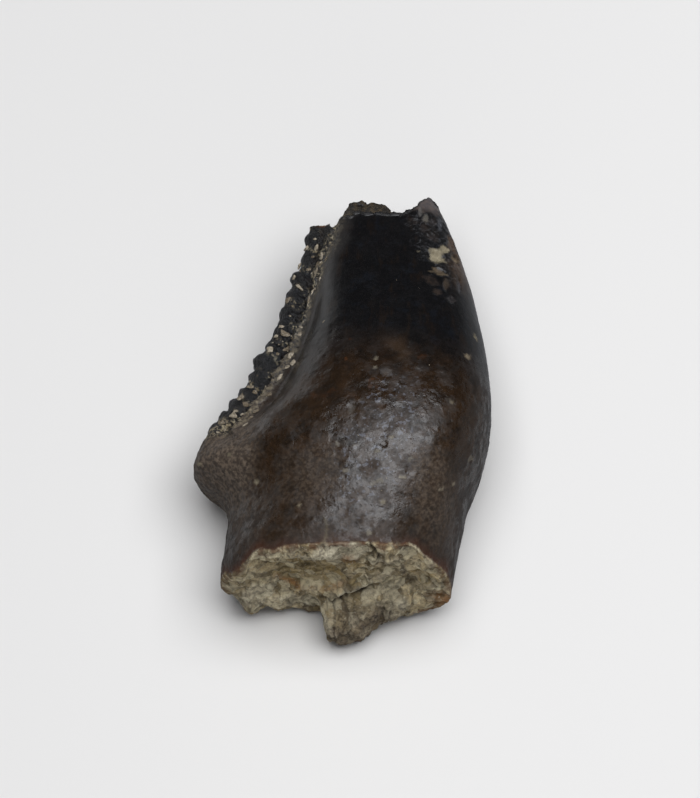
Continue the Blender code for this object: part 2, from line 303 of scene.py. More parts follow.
def make_root_break():
    """How far along the tooth the root is left standing, and the look of its scales."""
    x, z = GRID_X[:, None], GRID_Z[None, :]
    zero = np.zeros((len(GRID_X), len(GRID_Z)))
    wx = x + 0.09 * fbm(x + zero, z + zero, zero, 0.5, 3, 11)
    wz = z + 0.09 * fbm(x + zero, z + zero, zero + 5.0, 0.5, 3, 12)
    inside = -body_field(x + zero, zero + ROOT_BREAK_Y, z + zero)
    rim = smoothstep(0.02, 0.30, inside)
    y = ROOT_BREAK_Y - 0.10 * np.cos(1.1 * (x + 0.3)) + zero
    # the leaf-shaped hollow on the left, a shallow dish between two lips
    leaf = np.hypot((wx + 1.05) / 1.02, (wz - 2.08 + 0.10 * x) / 0.72)
    hollow = smoothstep(1.02, 0.72, leaf)
    y = y + 0.15 * hollow - 0.05 * smoothstep(0.12, 0.0, np.abs(leaf - 1.08)) * (z < 2.0)
    # the spur left on the underside, below an undercut; its right side runs up slowly
    line = 1.36 + 0.14 * np.sin(2.3 * x) + 0.16 * x
    ledge = smoothstep(0.08, -0.50, wz - line)
    reach = np.interp(wx, [row[0] for row in SPUR], [row[1] for row in SPUR])
    spur = ledge * smoothstep(-0.68, -0.50, wx) * smoothstep(1.3, 0.6, wx)
    y = y - ledge * reach
    y = y - smoothstep(1.3, 2.0, x) * (0.20 + 0.06 * smoothstep(2.3, 1.3, z))
    y = y - 0.24 * smoothstep(-2.05, -2.5, x) * smoothstep(-2.98, -2.60, x) * smoothstep(0.9, 1.3, z)
    # a shallow groove along the undercut, painted dark further on as the undercut's shade
    gap = smoothstep(0.05, 0.0, np.abs(wz - line - 0.02))
    gap = gap * smoothstep(-0.7, -0.4, x) * smoothstep(0.75, 0.45, x)
    y = y + 0.03 * gap
    # low points at the lower left, and a dark crack near the top
    y = y - 0.34 * bump((x + 2.26) / 0.42) * smoothstep(1.5, 0.6, z)
    crack = smoothstep(0.06, 0.0, np.abs(wx - 0.57 + 0.25 * (z - 3.3))) * smoothstep(
        2.9, 3.2, z
    )
    y = y + 0.16 * crack * rim
    # the larger scales, each with a painted shade ring under its lower edge
    pale = zero.copy()
    shade = zero.copy()
    for px, pz, rx, rz, turn, out, light in SCALES:
        c, sn = math.cos(turn), math.sin(turn)
        a, b = (wx - px) * c + (wz - pz) * sn, -(wx - px) * sn + (wz - pz) * c
        r = np.hypot(a / rx, b / rz)
        on = smoothstep(1.04, 0.86, r)
        y = y - on * rim * out * (0.8 + 0.5 * b / rz)
        pale = np.maximum(pale * (1 - on), on * light)
        shade = np.maximum(shade * (1 - on), smoothstep(0.20, 0.0, np.abs(r - 1.08)) * (b < 0.3 * rz))
    # flakes of three sizes all over
    big, big_edge, big_tone = shingles(wx, wz, 0.85, 6, 31)
    mid, mid_edge, mid_tone = shingles(wx + 3.0, wz, 0.42, 5, 41)
    small, small_edge, small_tone = shingles(wx, wz + 5.0, 0.20, 3, 51)
    quiet = (0.40 + 0.60 * rim) * (1.0 - 0.35 * hollow)
    y = y + quiet * (0.34 * (big - 0.5) + 0.20 * (mid - 0.5) + 0.07 * (small - 0.5))
    y = y + quiet * 0.05 * fbm(x + zero, z + zero, zero, 0.16, 3, 61)
    y = y + (0.5 + 0.5 * rim) * 0.05 * fbm(x + zero, z + zero, zero, 0.5, 3, 62)
    return {
        "y": y,
        "hollow": hollow,
        "leaf": leaf,
        "spur": spur,
        # gap: the undercut's painted shade line, and the dark crack
        "gap": np.clip(gap + crack, 0, 1),
        "tone": 0.40 * mid_tone + 0.35 * big_tone + 0.25 * small_tone,
        "pale": pale,
        # painted shade lines under flake edges and scale rims
        "crack_and_shade_lines": np.clip(0.7 * big_edge + 0.7 * mid_edge + 0.4 * small_edge + 0.6 * shade, 0, 1),
    }


def make_tip_break():
    x, z = GRID_X[:, None], GRID_Z[None, :]
    zero = np.zeros((len(GRID_X), len(GRID_Z)))
    wx = x + 0.05 * fbm(x + zero, z + zero, zero, 0.3, 3, 15)
    wz = z + 0.05 * fbm(x + zero, z + zero, zero + 2.0, 0.3, 3, 16)
    y = TIP_BREAK_Y + 0.02 * np.sin(5.0 * x) + zero
    core = smoothstep(2.74, 2.60, wz) * smoothstep(1.25, 1.65, wz)
    hump = np.clip(1.0 - ((wx - 0.43) / 0.62) ** 2, 0.0, 1.0) ** 0.6
    y = y + 0.46 * core * hump
    peak = np.interp(wx, (1.30, 1.46, 1.62, 1.80, 1.94, 2.12, 2.3), (0, 0.12, 0.38, 0.62, 0.46, 0.20, 0))
    y = y + peak * smoothstep(1.7, 2.1, z)
    y = y - 0.26 * smoothstep(0.13, 0.04, np.abs(wx + 0.33))
    y = y - smoothstep(-0.32, -0.42, x) * (0.06 + 0.55 * np.clip((np.abs(x + 0.63) - 0.16), 0, 1) ** 1.5)
    big = plates(wx, wz, 0.38, 71, 1.2)
    small = plates(wx, wz, 0.15, 81, 1.0)
    y = y + 0.08 * (big[2] - 0.5) + 0.08 * (big[3] - 0.5) * big[5]
    y = y + 0.03 * (small[2] - 0.5) + 0.05 * fbm(x + zero, z + zero, zero, 0.2, 3, 75)
    return {"y": y, "core": core, "tone": big[2]}


# ------------------------------------------------------------------- the beads
BEAD_SIZE = (1.02, 1.06, 1.02, 0.96, 1.06, 1.02, 1.14, 0.94, 1.02, 0.96, 0.92, 1.02, 1.06, 0.93)
BEAD_PROUD = (
    -0.06, 0.02, 0.05, 0.02, -0.03, -0.04, 0.05, -0.06, -0.10, -0.05, -0.06, -0.03, -0.08, -0.06
)


def bead_list():
    y, travelled, target = DENTICLE_FIRST_Y, 0.0, 0.0
    x = float(at("edge", y))
    beads = []
    for index in range(DENTICLES):
        while travelled < target:
            ahead = float(at("edge", y + 0.005))
            travelled += math.hypot(ahead - x, 0.005)
            x, y = ahead, y + 0.005
        run = math.atan2(0.4, float(at("edge", y + 0.2) - at("edge", y - 0.2)))
        angle = run - math.pi / 2.0 - DENTICLE_LEAN
        wear = index / (DENTICLES - 1)
        size, proud = BEAD_SIZE[index], BEAD_PROUD[index]
        beads.append(
            {
                "x": x,
                "y": y,
                "z": float(at("middle", y)) + 0.02 * math.sin(3.1 * index),
                "c": math.cos(angle),
                "s": math.sin(angle),
                "size": size,
                "proud": proud,
                "wear": wear,
            }
        )
        target += DENTICLE_PITCH + DENTICLE_PITCH_GROWTH * index
    return beads


BEADS = bead_list()


def ellipsoid(p, q, w, a, b, c):
    """About the distance to an ellipsoid."""
    k0 = np.sqrt((p / a) ** 2 + (q / b) ** 2 + (w / c) ** 2)
    k1 = np.sqrt((p / a**2) ** 2 + (q / b**2) ** 2 + (w / c**2) ** 2) + 1e-9
    return k0 * (k0 - 1.0) / k1


def bead_field(x, y, z):
    out = np.full(x.shape, 9.0)
    for b in BEADS:
        near = (np.abs(x - b["x"] - 0.3) < 0.9) & (np.abs(y - b["y"] + 0.1) < 0.9)
        if not near.any():
            continue
        dx, dy, dz = x[near] - b["x"], y[near] - b["y"], z[near] - b["z"]
        p = dx * b["c"] + dy * b["s"] + b["proud"]
        q = -dx * b["s"] + dy * b["c"]
        thick = DENTICLE_THICKNESS * (0.5 - 0.05 * b["wear"])
        half = DENTICLE_LENGTH * 0.5
        width = DENTICLE_WIDTH * 0.5 * b["size"]
        ridge = ellipsoid(p - half, q, dz, half, width * 0.92, thick)
        knob = ellipsoid(p - 0.20, q, dz, 0.205, width * 1.04, thick * 0.78)
        out[near] = np.minimum(out[near], smin(ridge, knob, 0.06))
    return out


# ------------------------------------------------------------------- the field
def body_field(x, y, z):
    left, right, crest = at("left", y), at("right", y), at("crest", y)
    wide, top, under = at("wide", y), at("top", y), at("under", y)
    a = np.where(x > crest, right - crest, crest - left)
    b = np.where(z > wide, top - wide, wide - under)
    u, v = np.abs(x - crest) / a, np.abs(z - wide) / b
    n = np.where(x > crest, at("upper_right", y), at("upper_left", y))
    n = np.where(z > wide, n, ROUNDNESS)
    up, vp = u ** (n - 1.0), v ** (n - 1.0)
    r = (up * u + vp * v) ** (1.0 / n)
    rp = r ** (n - 1.0) + 1e-9
    g = np.sqrt((up / rp / a) ** 2 + (vp / rp / b) ** 2)
    return (r - 1.0) / np.maximum(g, 0.2)


def beaded(y):
    return smoothstep(-1.50, -0.70, y)


def keel_edge(y):
    return at("edge", y) + DENTICLE_PROUD * smoothstep(-1.35, -0.65, y)


def lip_distance(y):
    """How far in from the keel's edge the smooth enamel starts."""
    return (
        0.555
        + 0.03 * np.sin(7.3 * y)
        + 0.025 * np.sin(17.0 * y + 1.3)
        + 0.015 * np.sin(41.0 * y)
    )


def keel_field(x, y, z):
    beads = beaded(y)
    full, middle = at("full", y), at("middle", y)
    d = x - keel_edge(y)
    across = np.abs(z - middle)
    # the low band the beads stand on, or the round swollen shoulder below it
    half = full * (0.66 * beads + 1.0 * (1.0 - beads))
    r = np.minimum(half * 0.95, 0.24 * beads + 1.3 * (1.0 - beads))
    q1, q2 = r - d, across - half + r
    band = (
        np.hypot(np.maximum(q1, 0), np.maximum(q2, 0))
        + np.minimum(np.maximum(q1, q2), 0)
        - r
    )
    # the smooth enamel inside the lip
    lip = d - lip_distance(y) - 0.6 * (1.0 - beads)
    r2 = 0.07
    q1, q2 = r2 - lip, across - full + r2
    slab = (
        np.hypot(np.maximum(q1, 0), np.maximum(q2, 0))
        + np.minimum(np.maximum(q1, q2), 0)
        - r2
    )
    return smax(smin(band, slab, 0.05), x - 1.0, 0.1)


ROOT = make_root_break()
TIP = make_tip_break()


def base_field(x, y, z):
    fillet = 0.34 + 0.38 * smoothstep(-0.2, -1.9, y)
    return smin(body_field(x, y, z), keel_field(x, y, z), fillet)


CHIPS = []  # filled in once points on the surface can be found


def chip_field(x, y, z):
    out = np.full(x.shape, 9.0)
    for centre, axes, size in CHIPS:
        near = (
            np.abs(x - centre[0]) + np.abs(y - centre[1]) + np.abs(z - centre[2])
            < 2.0 * max(size) + 0.2
        )
        if not near.any():
            continue
        rel = np.stack((x[near] - centre[0], y[near] - centre[1], z[near] - centre[2]))
        p, q, w = axes @ rel
        out[near] = np.minimum(out[near], ellipsoid(p, q, w, *size))
    return out


def cut_root(x, y, z):
    return (read_grid(ROOT["y"], x, z) - y) * 0.8


def cut_tip(x, y, z):
    return (y - read_grid(TIP["y"], x, z)) * 0.85


def tooth_field(x, y, z):
    d = base_field(x, y, z)
    if x.ndim == 1:
        d = smin(d, bead_field(x, y, z), 0.05)
        if CHIPS:
            d = smax(d, -chip_field(x, y, z), 0.03)
    d = smax(d, cut_root(x, y, z), 0.03)
    d = smax(d, cut_tip(x, y, z), 0.03)
    return np.maximum(d, REST_PLANE_Z - z)


# ------------------------------------------------- finding points on the surface
VIEW = np.array((0.0, -math.cos(ELEVATION), math.sin(ELEVATION)))
UP = np.array((0.0, math.sin(ELEVATION), math.cos(ELEVATION)))
# the point of the modelling frame at the middle of the picture, at mid depth
AIM = (BASE_V - CENTRE_V) * SCALE * UP + 1.5 * VIEW


def project(p):
    """Picture position of points in the modelling frame."""
    rel = np.asarray(p) - AIM
    depth = CAMERA_DISTANCE - rel @ VIEW
    f = CAMERA_DISTANCE / depth / SCALE
    return CENTRE_U + rel[..., 0] * f, CENTRE_V - (rel @ UP) * f


def on_surface(u, v):
    """The point of the tooth seen at picture position u, v."""
    eye = AIM + CAMERA_DISTANCE * VIEW
    target = (
        AIM
        + np.array((1.0, 0.0, 0.0)) * (u - CENTRE_U) * SCALE
        + UP * (CENTRE_V - v) * SCALE
    )
    ray = (target - eye) / np.linalg.norm(target - eye)
    t = np.linspace(CAMERA_DISTANCE - 9.0, CAMERA_DISTANCE + 9.0, 1201)
    p = eye + t[:, None] * ray
    d = tooth_field(p[:, 0].copy(), p[:, 1].copy(), p[:, 2].copy())
    hit = np.nonzero(d < 0)[0]
    return p[hit[0]] if len(hit) else None


def gradient(p):
    e = 0.006
    g = np.empty_like(p)
    for k in range(3):
        hi, lo = p.copy(), p.copy()
        hi[:, k] += e
        lo[:, k] -= e
        g[:, k] = (tooth_field(*hi.T.copy()) - tooth_field(*lo.T.copy())) / (2 * e)
    return g


# Chips and flecks on the enamel: picture position, half sizes in picture points, how
# deep in millimetres, and how pale, brown or blue-grey its floor is.
FLECKS = (
    (435, 256, 9.5, 7.0, 0.07, 1.0, 0.0, 0.0),
    (445, 250, 6.0, 3.5, 0.05, 0.9, 0.1, 0.0),
    (455, 258, 5.0, 5.0, 0.08, 0.3, 0.8, 0.0),
    (452, 244, 5.0, 8.0, 0.06, 0.0, 0.7, 0.0),
    (439, 272, 6.0, 4.0, 0.04, 0.25, 0.5, 0.0),
    (420, 212, 2.6, 5.0, 0.03, 0.15, 0.0, 0.5),
    (426, 217, 2.2, 4.0, 0.03, 0.25, 0.0, 0.4),
    # this chip and the thin one at (459, 286) have blue-grey floors that are painted glints
    (440, 226, 2.6, 5.0, 0.03, 0.0, 0.0, 0.45),
    (433, 222, 5.0, 4.0, 0.01, 0.0, 0.1, 0.05),
    (424, 228, 5.0, 4.0, 0.01, 0.0, 0.1, 0.05),
    (416, 222, 4.0, 3.0, 0.01, 0.0, 0.1, 0.05),
    (459, 286, 1.8, 8.0, 0.03, 0.0, 0.0, 0.32),
    (446, 285, 3.0, 7.0, 0.03, 0.05, 0.25, 0.05),
    (437, 292, 5.0, 3.0, 0.01, 0.0, 0.2, 0.05),
    (451, 300, 3.0, 4.0, 0.03, 0.0, 0.1, 0.12),
    (433, 238, 7.0, 4.0, 0.01, 0.0, 0.1, 0.05),
    (432, 280, 7.0, 5.0, 0.01, 0.0, 0.12, 0.03),
    (388, 372, 6.5, 5.0, 0.0, 0.06, 0.1, 0.25),
    (351, 407, 4.0, 4.0, 0.02, 0.12, 0.1, 0.27),
    (376, 359, 2.0, 1.8, 0.0, 0.48, 0.0, 0.18),
    (375, 368, 2.2, 1.8, 0.0, 0.36, 0.0, 0.27),
    (475, 338, 1.8, 1.8, 0.0, 0.9, 0.0, 0.0),
    (467, 357, 2.6, 2.4, 0.0, 0.5, 0.7, 0.0),
    (451, 402, 2.0, 1.8, 0.0, 0.42, 0.1, 0.0),
    (471, 460, 2.4, 4.0, 0.02, 0.3, 0.0, 0.2),
    (454, 484, 2.0, 2.0, 0.0, 0.42, 0.0, 0.09),
    (440, 490, 2.4, 2.0, 0.0, 0.36, 0.1, 0.09),
    (437, 447, 3.6, 3.2, 0.014, 0.0, 0.1, 0.0),
    (381, 405, 3.6, 3.0, 0.008, 0.0, 0.1, 0.0),
    (384, 444, 3.6, 2.8, 0.014, 0.0, 0.0, 0.0),
    (410, 470, 4.0, 5.0, 0.010, 0.0, 0.0, 0.09),
    (380, 501, 3.4, 2.4, 0.010, 0.0, 0.1, 0.0),
    # from here to (369, 533): pale blue-grey specks in the belly's bright patch, painted highlight specks
    (392, 437, 2.8, 1.6, 0.0, 0.55, 0.0, 0.55),
    (378, 451, 3.6, 2.0, 0.0, 0.60, 0.0, 0.54),
    (410, 458, 2.6, 1.8, 0.0, 0.50, 0.0, 0.55),
    (346, 470, 2.4, 1.8, 0.0, 0.55, 0.0, 0.45),
    (337, 443, 2.4, 1.6, 0.0, 0.45, 0.0, 0.45),
    (355, 446, 2.2, 1.6, 0.0, 0.35, 0.0, 0.45),
    (401, 477, 3.6, 2.0, 0.0, 0.55, 0.0, 0.55),
    (380, 480, 3.4, 1.8, 0.0, 0.50, 0.0, 0.60),
    (372, 485, 2.6, 1.6, 0.0, 0.35, 0.0, 0.55),
    (384, 502, 2.8, 3.0, 0.0, 0.55, 0.0, 0.36),
    (369, 533, 3.0, 1.8, 0.0, 0.40, 0.0, 0.45),
    (420, 439, 4.0, 2.6, 0.0, 0.06, 0.0, 0.32),
    (413, 417, 3.0, 3.0, 0.0, 0.06, 0.0, 0.27),
    (200, 464, 3.0, 2.4, 0.0, 0.7, 0.2, 0.0),
    (257, 482, 2.2, 2.0, 0.0, 0.7, 0.0, 0.1),
    (229, 455, 2.0, 1.6, 0.0, 0.6, 0.1, 0.0),
    (300, 505, 2.2, 1.8, 0.0, 0.4, 0.2, 0.0),
)
FLECK_PLACES = []


def place_flecks():
    for u, v, ru, rv, deep, pale, brown, blue in FLECKS:
        p = on_surface(u, v)
        if p is None:
            continue
        n = gradient(p[None, :])[0]
        n /= np.linalg.norm(n)
        across = np.array((1.0, 0.0, 0.0)) - n[0] * n
        across /= np.linalg.norm(across)
        axes = np.stack((across, np.cross(n, across), n))
        # half sizes as seen along the view become half sizes on the slope
        ru_mm = ru * SCALE / max(abs(axes[0, 0]), 0.45)
        rv_mm = rv * SCALE / max(abs(axes[1] @ UP), 0.45)
        FLECK_PLACES.append((p, axes, ru_mm, rv_mm, pale, brown, blue))
        if deep > 0.0:
            CHIPS.append((p + n * 0.5 * deep, axes, (ru_mm, rv_mm, 1.5 * deep)))


place_flecks()


# ------------------------------------------------------------------ the mesher
def surface_net(field, origin, h):
    """One point in each cell the surface crosses, one quad across each crossed edge."""
    inside = field < 0
    count = np.zeros(tuple(n - 1 for n in inside.shape), dtype=np.int8)
    for a in (0, 1):
        for b in (0, 1):
            for c in (0, 1):
                count += inside[
                    a : inside.shape[0] - 1 + a,
                    b : inside.shape[1] - 1 + b,
                    c : inside.shape[2] - 1 + c,
                ]
    active = (count > 0) & (count < 8)
    ids = np.full(active.shape, -1, dtype=np.int64)
    cells = np.argwhere(active)
    ids[active] = np.arange(len(cells))
    total = np.zeros((len(cells), 3))
    n = np.zeros(len(cells))
    i, j, k = cells.T
    corners = [(a, b, c) for a in (0, 1) for b in (0, 1) for c in (0, 1)]
    for a in corners:
        for axis in range(3):
            if a[axis]:
                continue
            b = list(a)
            b[axis] = 1
            fa = field[i + a[0], j + a[1], k + a[2]]
            fb = field[i + b[0], j + b[1], k + b[2]]
            cross = (fa < 0) != (fb < 0)
            t = np.where(cross, fa / np.where(cross, fa - fb, 1.0), 0.0)
            p = np.array(a, float)[None, :] + 0.0 * total
            p[:, axis] += t
            total += p * cross[:, None]
            n += cross
    verts = origin + h * (cells + total / n[:, None])
    quads = []
    for axis in range(3):
        b, c = (axis + 1) % 3, (axis + 2) % 3
        lo = [slice(None)] * 3
        hi = [slice(None)] * 3
        lo[axis], hi[axis] = slice(0, -1), slice(1, None)
        for m in (b, c):
            lo[m] = hi[m] = slice(1, -1)
        a_in, b_in = inside[tuple(lo)], inside[tuple(hi)]
        for outward in (True, False):
            edge = np.argwhere(a_in & ~b_in if outward else ~a_in & b_in)
            if not len(edge):
                continue
            cell = edge.copy()
            cell[:, b] += 1
            cell[:, c] += 1
            steps = ((-1, -1), (0, -1), (0, 0), (-1, 0))
            if not outward:
                steps = steps[::-1]
            loop = []
            for sb, sc in steps:
                q = cell.copy()
                q[:, b] += sb
                q[:, c] += sc
                loop.append(ids[q[:, 0], q[:, 1], q[:, 2]])
            quads.append(np.stack(loop, axis=1))
    return verts, np.concatenate(quads)


def mesh_from_arrays(name, verts, faces):
    mesh = bpy.data.meshes.new(name)
    side = faces.shape[1]
    mesh.vertices.add(len(verts))
    mesh.loops.add(faces.size)
    mesh.polygons.add(len(faces))
    mesh.vertices.foreach_set("co", np.ascontiguousarray(verts, np.float32).ravel())
    mesh.loops.foreach_set("vertex_index", faces.astype(np.int32).ravel())
    mesh.polygons.foreach_set(
        "loop_start", np.arange(0, faces.size, side, dtype=np.int32)
    )
    mesh.polygons.foreach_set("use_smooth", np.ones(len(faces), dtype=bool))
    mesh.update(calc_edges=True)
    mesh.validate()
    return mesh


def link(obj):
    bpy.context.scene.collection.objects.link(obj)
    return obj


def to_world(p):
    return (p + SHIFT) * MM


def roughen(p, normal):
    """Lifts and sinks points along their normals: worn enamel, pits, grainy breaks."""
    x, y, z = p.T
    frac = fracture_mask(p)
    tip = tip_mask(p)
    band = band_mask(p)
    smooth = smoothstep(0.2, 2.0, y + 0.4 * x)  # the crown is smoother than the belly
    belly = (0.020 - 0.014 * smooth) * fbm(x, y, z, 0.36, 3, 101)
    belly = belly + (0.008 - 0.006 * smooth) * fbm(x, y, z, 0.13, 2, 111)
    coarse = 0.03 * fbm(x, y, z, 1.6, 2, 121)
    swollen = smoothstep(-1.6, -2.5, x) * smoothstep(0.2, -1.2, y)
    belly = belly + swollen * 0.026 * fbm(x, y, z, 0.17, 3, 131)
    chips = 0.030 * fbm(x, y, z, 0.17, 3, 135) + 0.022 * fbm(x, y, z, 0.08, 2, 137)
    belly = belly + chip_zone(p) * chips
    beads = 0.030 * fbm(x, y, z, 0.22, 2, 141) + 0.034 * fbm(x, y, z, 0.12, 2, 145)
    grains = 0.030 * fbm(x, y, z, 0.13, 3, 151) + 0.07 * read_grid(
        ROOT["spur"], x, z
    ) * fbm(x, y, z, 0.20, 3, 155)
    amount = (belly * (1 - band) + beads * band) * (1 - np.maximum(frac, tip))
    amount = amount + grains * np.maximum(frac, 0.9 * tip) + coarse
    amount = amount + tip * (0.05 * fbm(x, y, z, 0.45, 3, 161) + 0.02 * fbm(x, y, z, 0.09, 2, 165))
    keep = smoothstep(0.0, 0.05, z)
    return p + normal * (amount * keep)[:, None]


def chip_zone(p):
    """The crazed, chipped patch of enamel beside the peak of the tip."""
    x, y, z = p.T
    side = np.hypot((x - 1.85 - 0.25 * (4.4 - y)) / 0.62, (y - 3.6) / 1.25)
    side = side + 0.5 * fbm(x, y, z, 0.25, 3, 211)
    return smoothstep(1.1, 0.55, side) * smoothstep(1.8, 2.8, z) * smoothstep(2.62, 2.35, x)


def fracture_mask(p):
    x, y, z = p.T
    return smoothstep(0.09, 0.03, y - read_grid(ROOT["y"], x, z))


def tip_mask(p):
    x, y, z = p.T
    return smoothstep(0.09, 0.03, read_grid(TIP["y"], x, z) - y)


def band_mask(p):
    x, y, z = p.T
    d = x - keel_edge(y)
    near = smoothstep(lip_distance(y) + 0.06, lip_distance(y) - 0.02, d)
    return near * smoothstep(-1.1, -0.85, y)


def make_tooth():
    h = VOXEL
    gx = np.arange(-4.0, 3.65, h)
    gy = np.arange(-5.75, 5.55, h)
    gz = np.arange(-0.25, 5.0, h)
    field = np.empty((len(gx), len(gy), len(gz)), np.float32)
    step = 24
    for s in range(0, len(gy), step):
        y = gy[s : s + step][None, :, None]
        x, z = gx[:, None, None], gz[None, None, :]
        field[:, s : s + step] = tooth_field(x, y, z)
    # only near the surface does the field need its beads and chips
    near = np.argwhere(np.abs(field) < 0.55)
    px, py, pz = gx[near[:, 0]], gy[near[:, 1]], gz[near[:, 2]]
    field[near[:, 0], near[:, 1], near[:, 2]] = tooth_field(px, py, pz)
    verts, quads = surface_net(field, np.array((gx[0], gy[0], gz[0])), h)
    for _ in range(2):
        g = gradient(verts)
        d = tooth_field(*verts.T.copy())
        size = np.maximum((g * g).sum(1), 0.25)
        move = -g * (d / size)[:, None]
        reach = np.linalg.norm(move, axis=1)
        move *= np.minimum(1.0, 0.5 * h / np.maximum(reach, 1e-9))[:, None]
        verts = verts + move
    g = gradient(verts)
    normal = g / np.maximum(np.linalg.norm(g, axis=1), 1e-6)[:, None]
    verts = roughen(verts, normal)
    verts[:, 2] = np.maximum(verts[:, 2], REST_PLANE_Z)
    mesh = mesh_from_arrays("fossil_tooth", to_world(verts), quads)
    obj = link(bpy.data.objects.new("fossil_tooth", mesh))
    tri = obj.modifiers.new("tri", "TRIANGULATE")
    total = 2 * len(quads)
    if total > TRIANGLES:
        dec = obj.modifiers.new("thin", "DECIMATE")
        dec.ratio = TRIANGLES / total
        dec.use_collapse_triangulate = True
    graph = bpy.context.evaluated_depsgraph_get()
    done = bpy.data.meshes.new_from_object(obj.evaluated_get(graph))
    obj.modifiers.clear()
    obj.data = done
    done.name = "fossil_tooth"
    done.polygons.foreach_set("use_smooth", np.ones(len(done.polygons), dtype=bool))
    print("tooth triangles", len(done.polygons), "from", total)
    return obj


def mesh_points(obj):
    co = np.empty(len(obj.data.vertices) * 3, np.float32)
    obj.data.vertices.foreach_get("co", co)
    return co.reshape(-1, 3).astype(float) / MM - SHIFT


def give(obj, name, values):
    a = obj.data.attributes.new(name, "FLOAT", "POINT")
    a.data.foreach_set("value", np.ascontiguousarray(values, np.float32))


# ------------------------------------------------------------------- materials
class Nodes:
    """Short-hand for building a node material."""

    def __init__(self, name):
        self.mat = bpy.data.materials.new(name)
        self.mat.use_nodes = True
        self.tree = self.mat.node_tree
        self.shader = self.tree.nodes["Principled BSDF"]
        coord = self.tree.nodes.new("ShaderNodeTexCoord")
        scale = self.tree.nodes.new("ShaderNodeVectorMath")
        scale.operation = "SCALE"
        scale.inputs["Scale"].default_value = 1000.0
        self.tree.links.new(coord.outputs["Object"], scale.inputs[0])
        self.mm = scale.outputs[0]

    def plug(self, socket, value):
        if hasattr(value, "is_output"):
            self.tree.links.new(value, socket)
        else:
            socket.default_value = value

    def noise(self, scale, detail=4.0, rough=0.55, vector=None, distort=0.0):
        n = self.tree.nodes.new("ShaderNodeTexNoise")
        n.inputs["Scale"].default_value = scale
        n.inputs["Detail"].default_value = detail
        n.inputs["Roughness"].default_value = rough
        n.inputs["Distortion"].default_value = distort
        self.plug(n.inputs["Vector"], self.mm if vector is None else vector)
        return n.outputs["Fac"]

    def voronoi(self, scale, feature="F1", out="Distance", vector=None):
        n = self.tree.nodes.new("ShaderNodeTexVoronoi")
        n.feature = feature
        n.inputs["Scale"].default_value = scale
        self.plug(n.inputs["Vector"], self.mm if vector is None else vector)
        return n.outputs[out]

    def stretch(self, scale):
        n = self.tree.nodes.new("ShaderNodeVectorMath")
        n.operation = "MULTIPLY"
        n.inputs[1].default_value = scale
        self.plug(n.inputs[0], self.mm)
        return n.outputs[0]

    def warped(self, amount):
        """Object coordinates pushed about by noise."""
        n = self.tree.nodes.new("ShaderNodeTexNoise")
        n.inputs["Scale"].default_value = 4.0
        n.inputs["Detail"].default_value = 3.0
        self.plug(n.inputs["Vector"], self.mm)
        add = self.tree.nodes.new("ShaderNodeVectorMath")
        add.operation = "MULTIPLY_ADD"
        self.plug(add.inputs[0], n.outputs["Color"])
        add.inputs[1].default_value = (amount, amount, amount)
        self.plug(add.inputs[2], self.mm)
        return add.outputs[0]

    def attribute(self, name):
        n = self.tree.nodes.new("ShaderNodeAttribute")
        n.attribute_name = name
        return n.outputs["Fac"]

    def math(self, op, a, b=None, clamp=False):
        n = self.tree.nodes.new("ShaderNodeMath")
        n.operation = op
        n.use_clamp = clamp
        self.plug(n.inputs[0], a)
        if b is not None:
            self.plug(n.inputs[1], b)
        return n.outputs[0]

    def ramp(self, value, low, high, to_low=0.0, to_high=1.0):
        n = self.tree.nodes.new("ShaderNodeMapRange")
        n.interpolation_type = "SMOOTHSTEP"
        self.plug(n.inputs["Value"], value)
        n.inputs["From Min"].default_value = low
        n.inputs["From Max"].default_value = high
        n.inputs["To Min"].default_value = to_low
        n.inputs["To Max"].default_value = to_high
        return n.outputs["Result"]

    def mix(self, fac, a, b, blend="MIX"):
        n = self.tree.nodes.new("ShaderNodeMix")
        n.data_type = "RGBA"
        n.blend_type = blend
        self.plug(n.inputs["Factor"], fac)
        for socket, value in ((n.inputs[6], a), (n.inputs[7], b)):
            if isinstance(value, tuple):
                value = (*value, 1.0)
            self.plug(socket, value)
        return n.outputs[2]

    def bump(self, height, strength, distance_mm, normal=None):
        n = self.tree.nodes.new("ShaderNodeBump")
        n.inputs["Strength"].default_value = strength
        n.inputs["Distance"].default_value = distance_mm * MM
        self.plug(n.inputs["Height"], height)
        if normal is not None:
            self.plug(n.inputs["Normal"], normal)
        return n.outputs["Normal"]

    def set(self, name, value):
        self.plug(self.shader.inputs[name], value)


def srgb(r, g, b):
    def lin(c):
        c /= 255.0
        return c / 12.92 if c <= 0.04045 else ((c + 0.055) / 1.055) ** 2.4

    return lin(r), lin(g), lin(b)


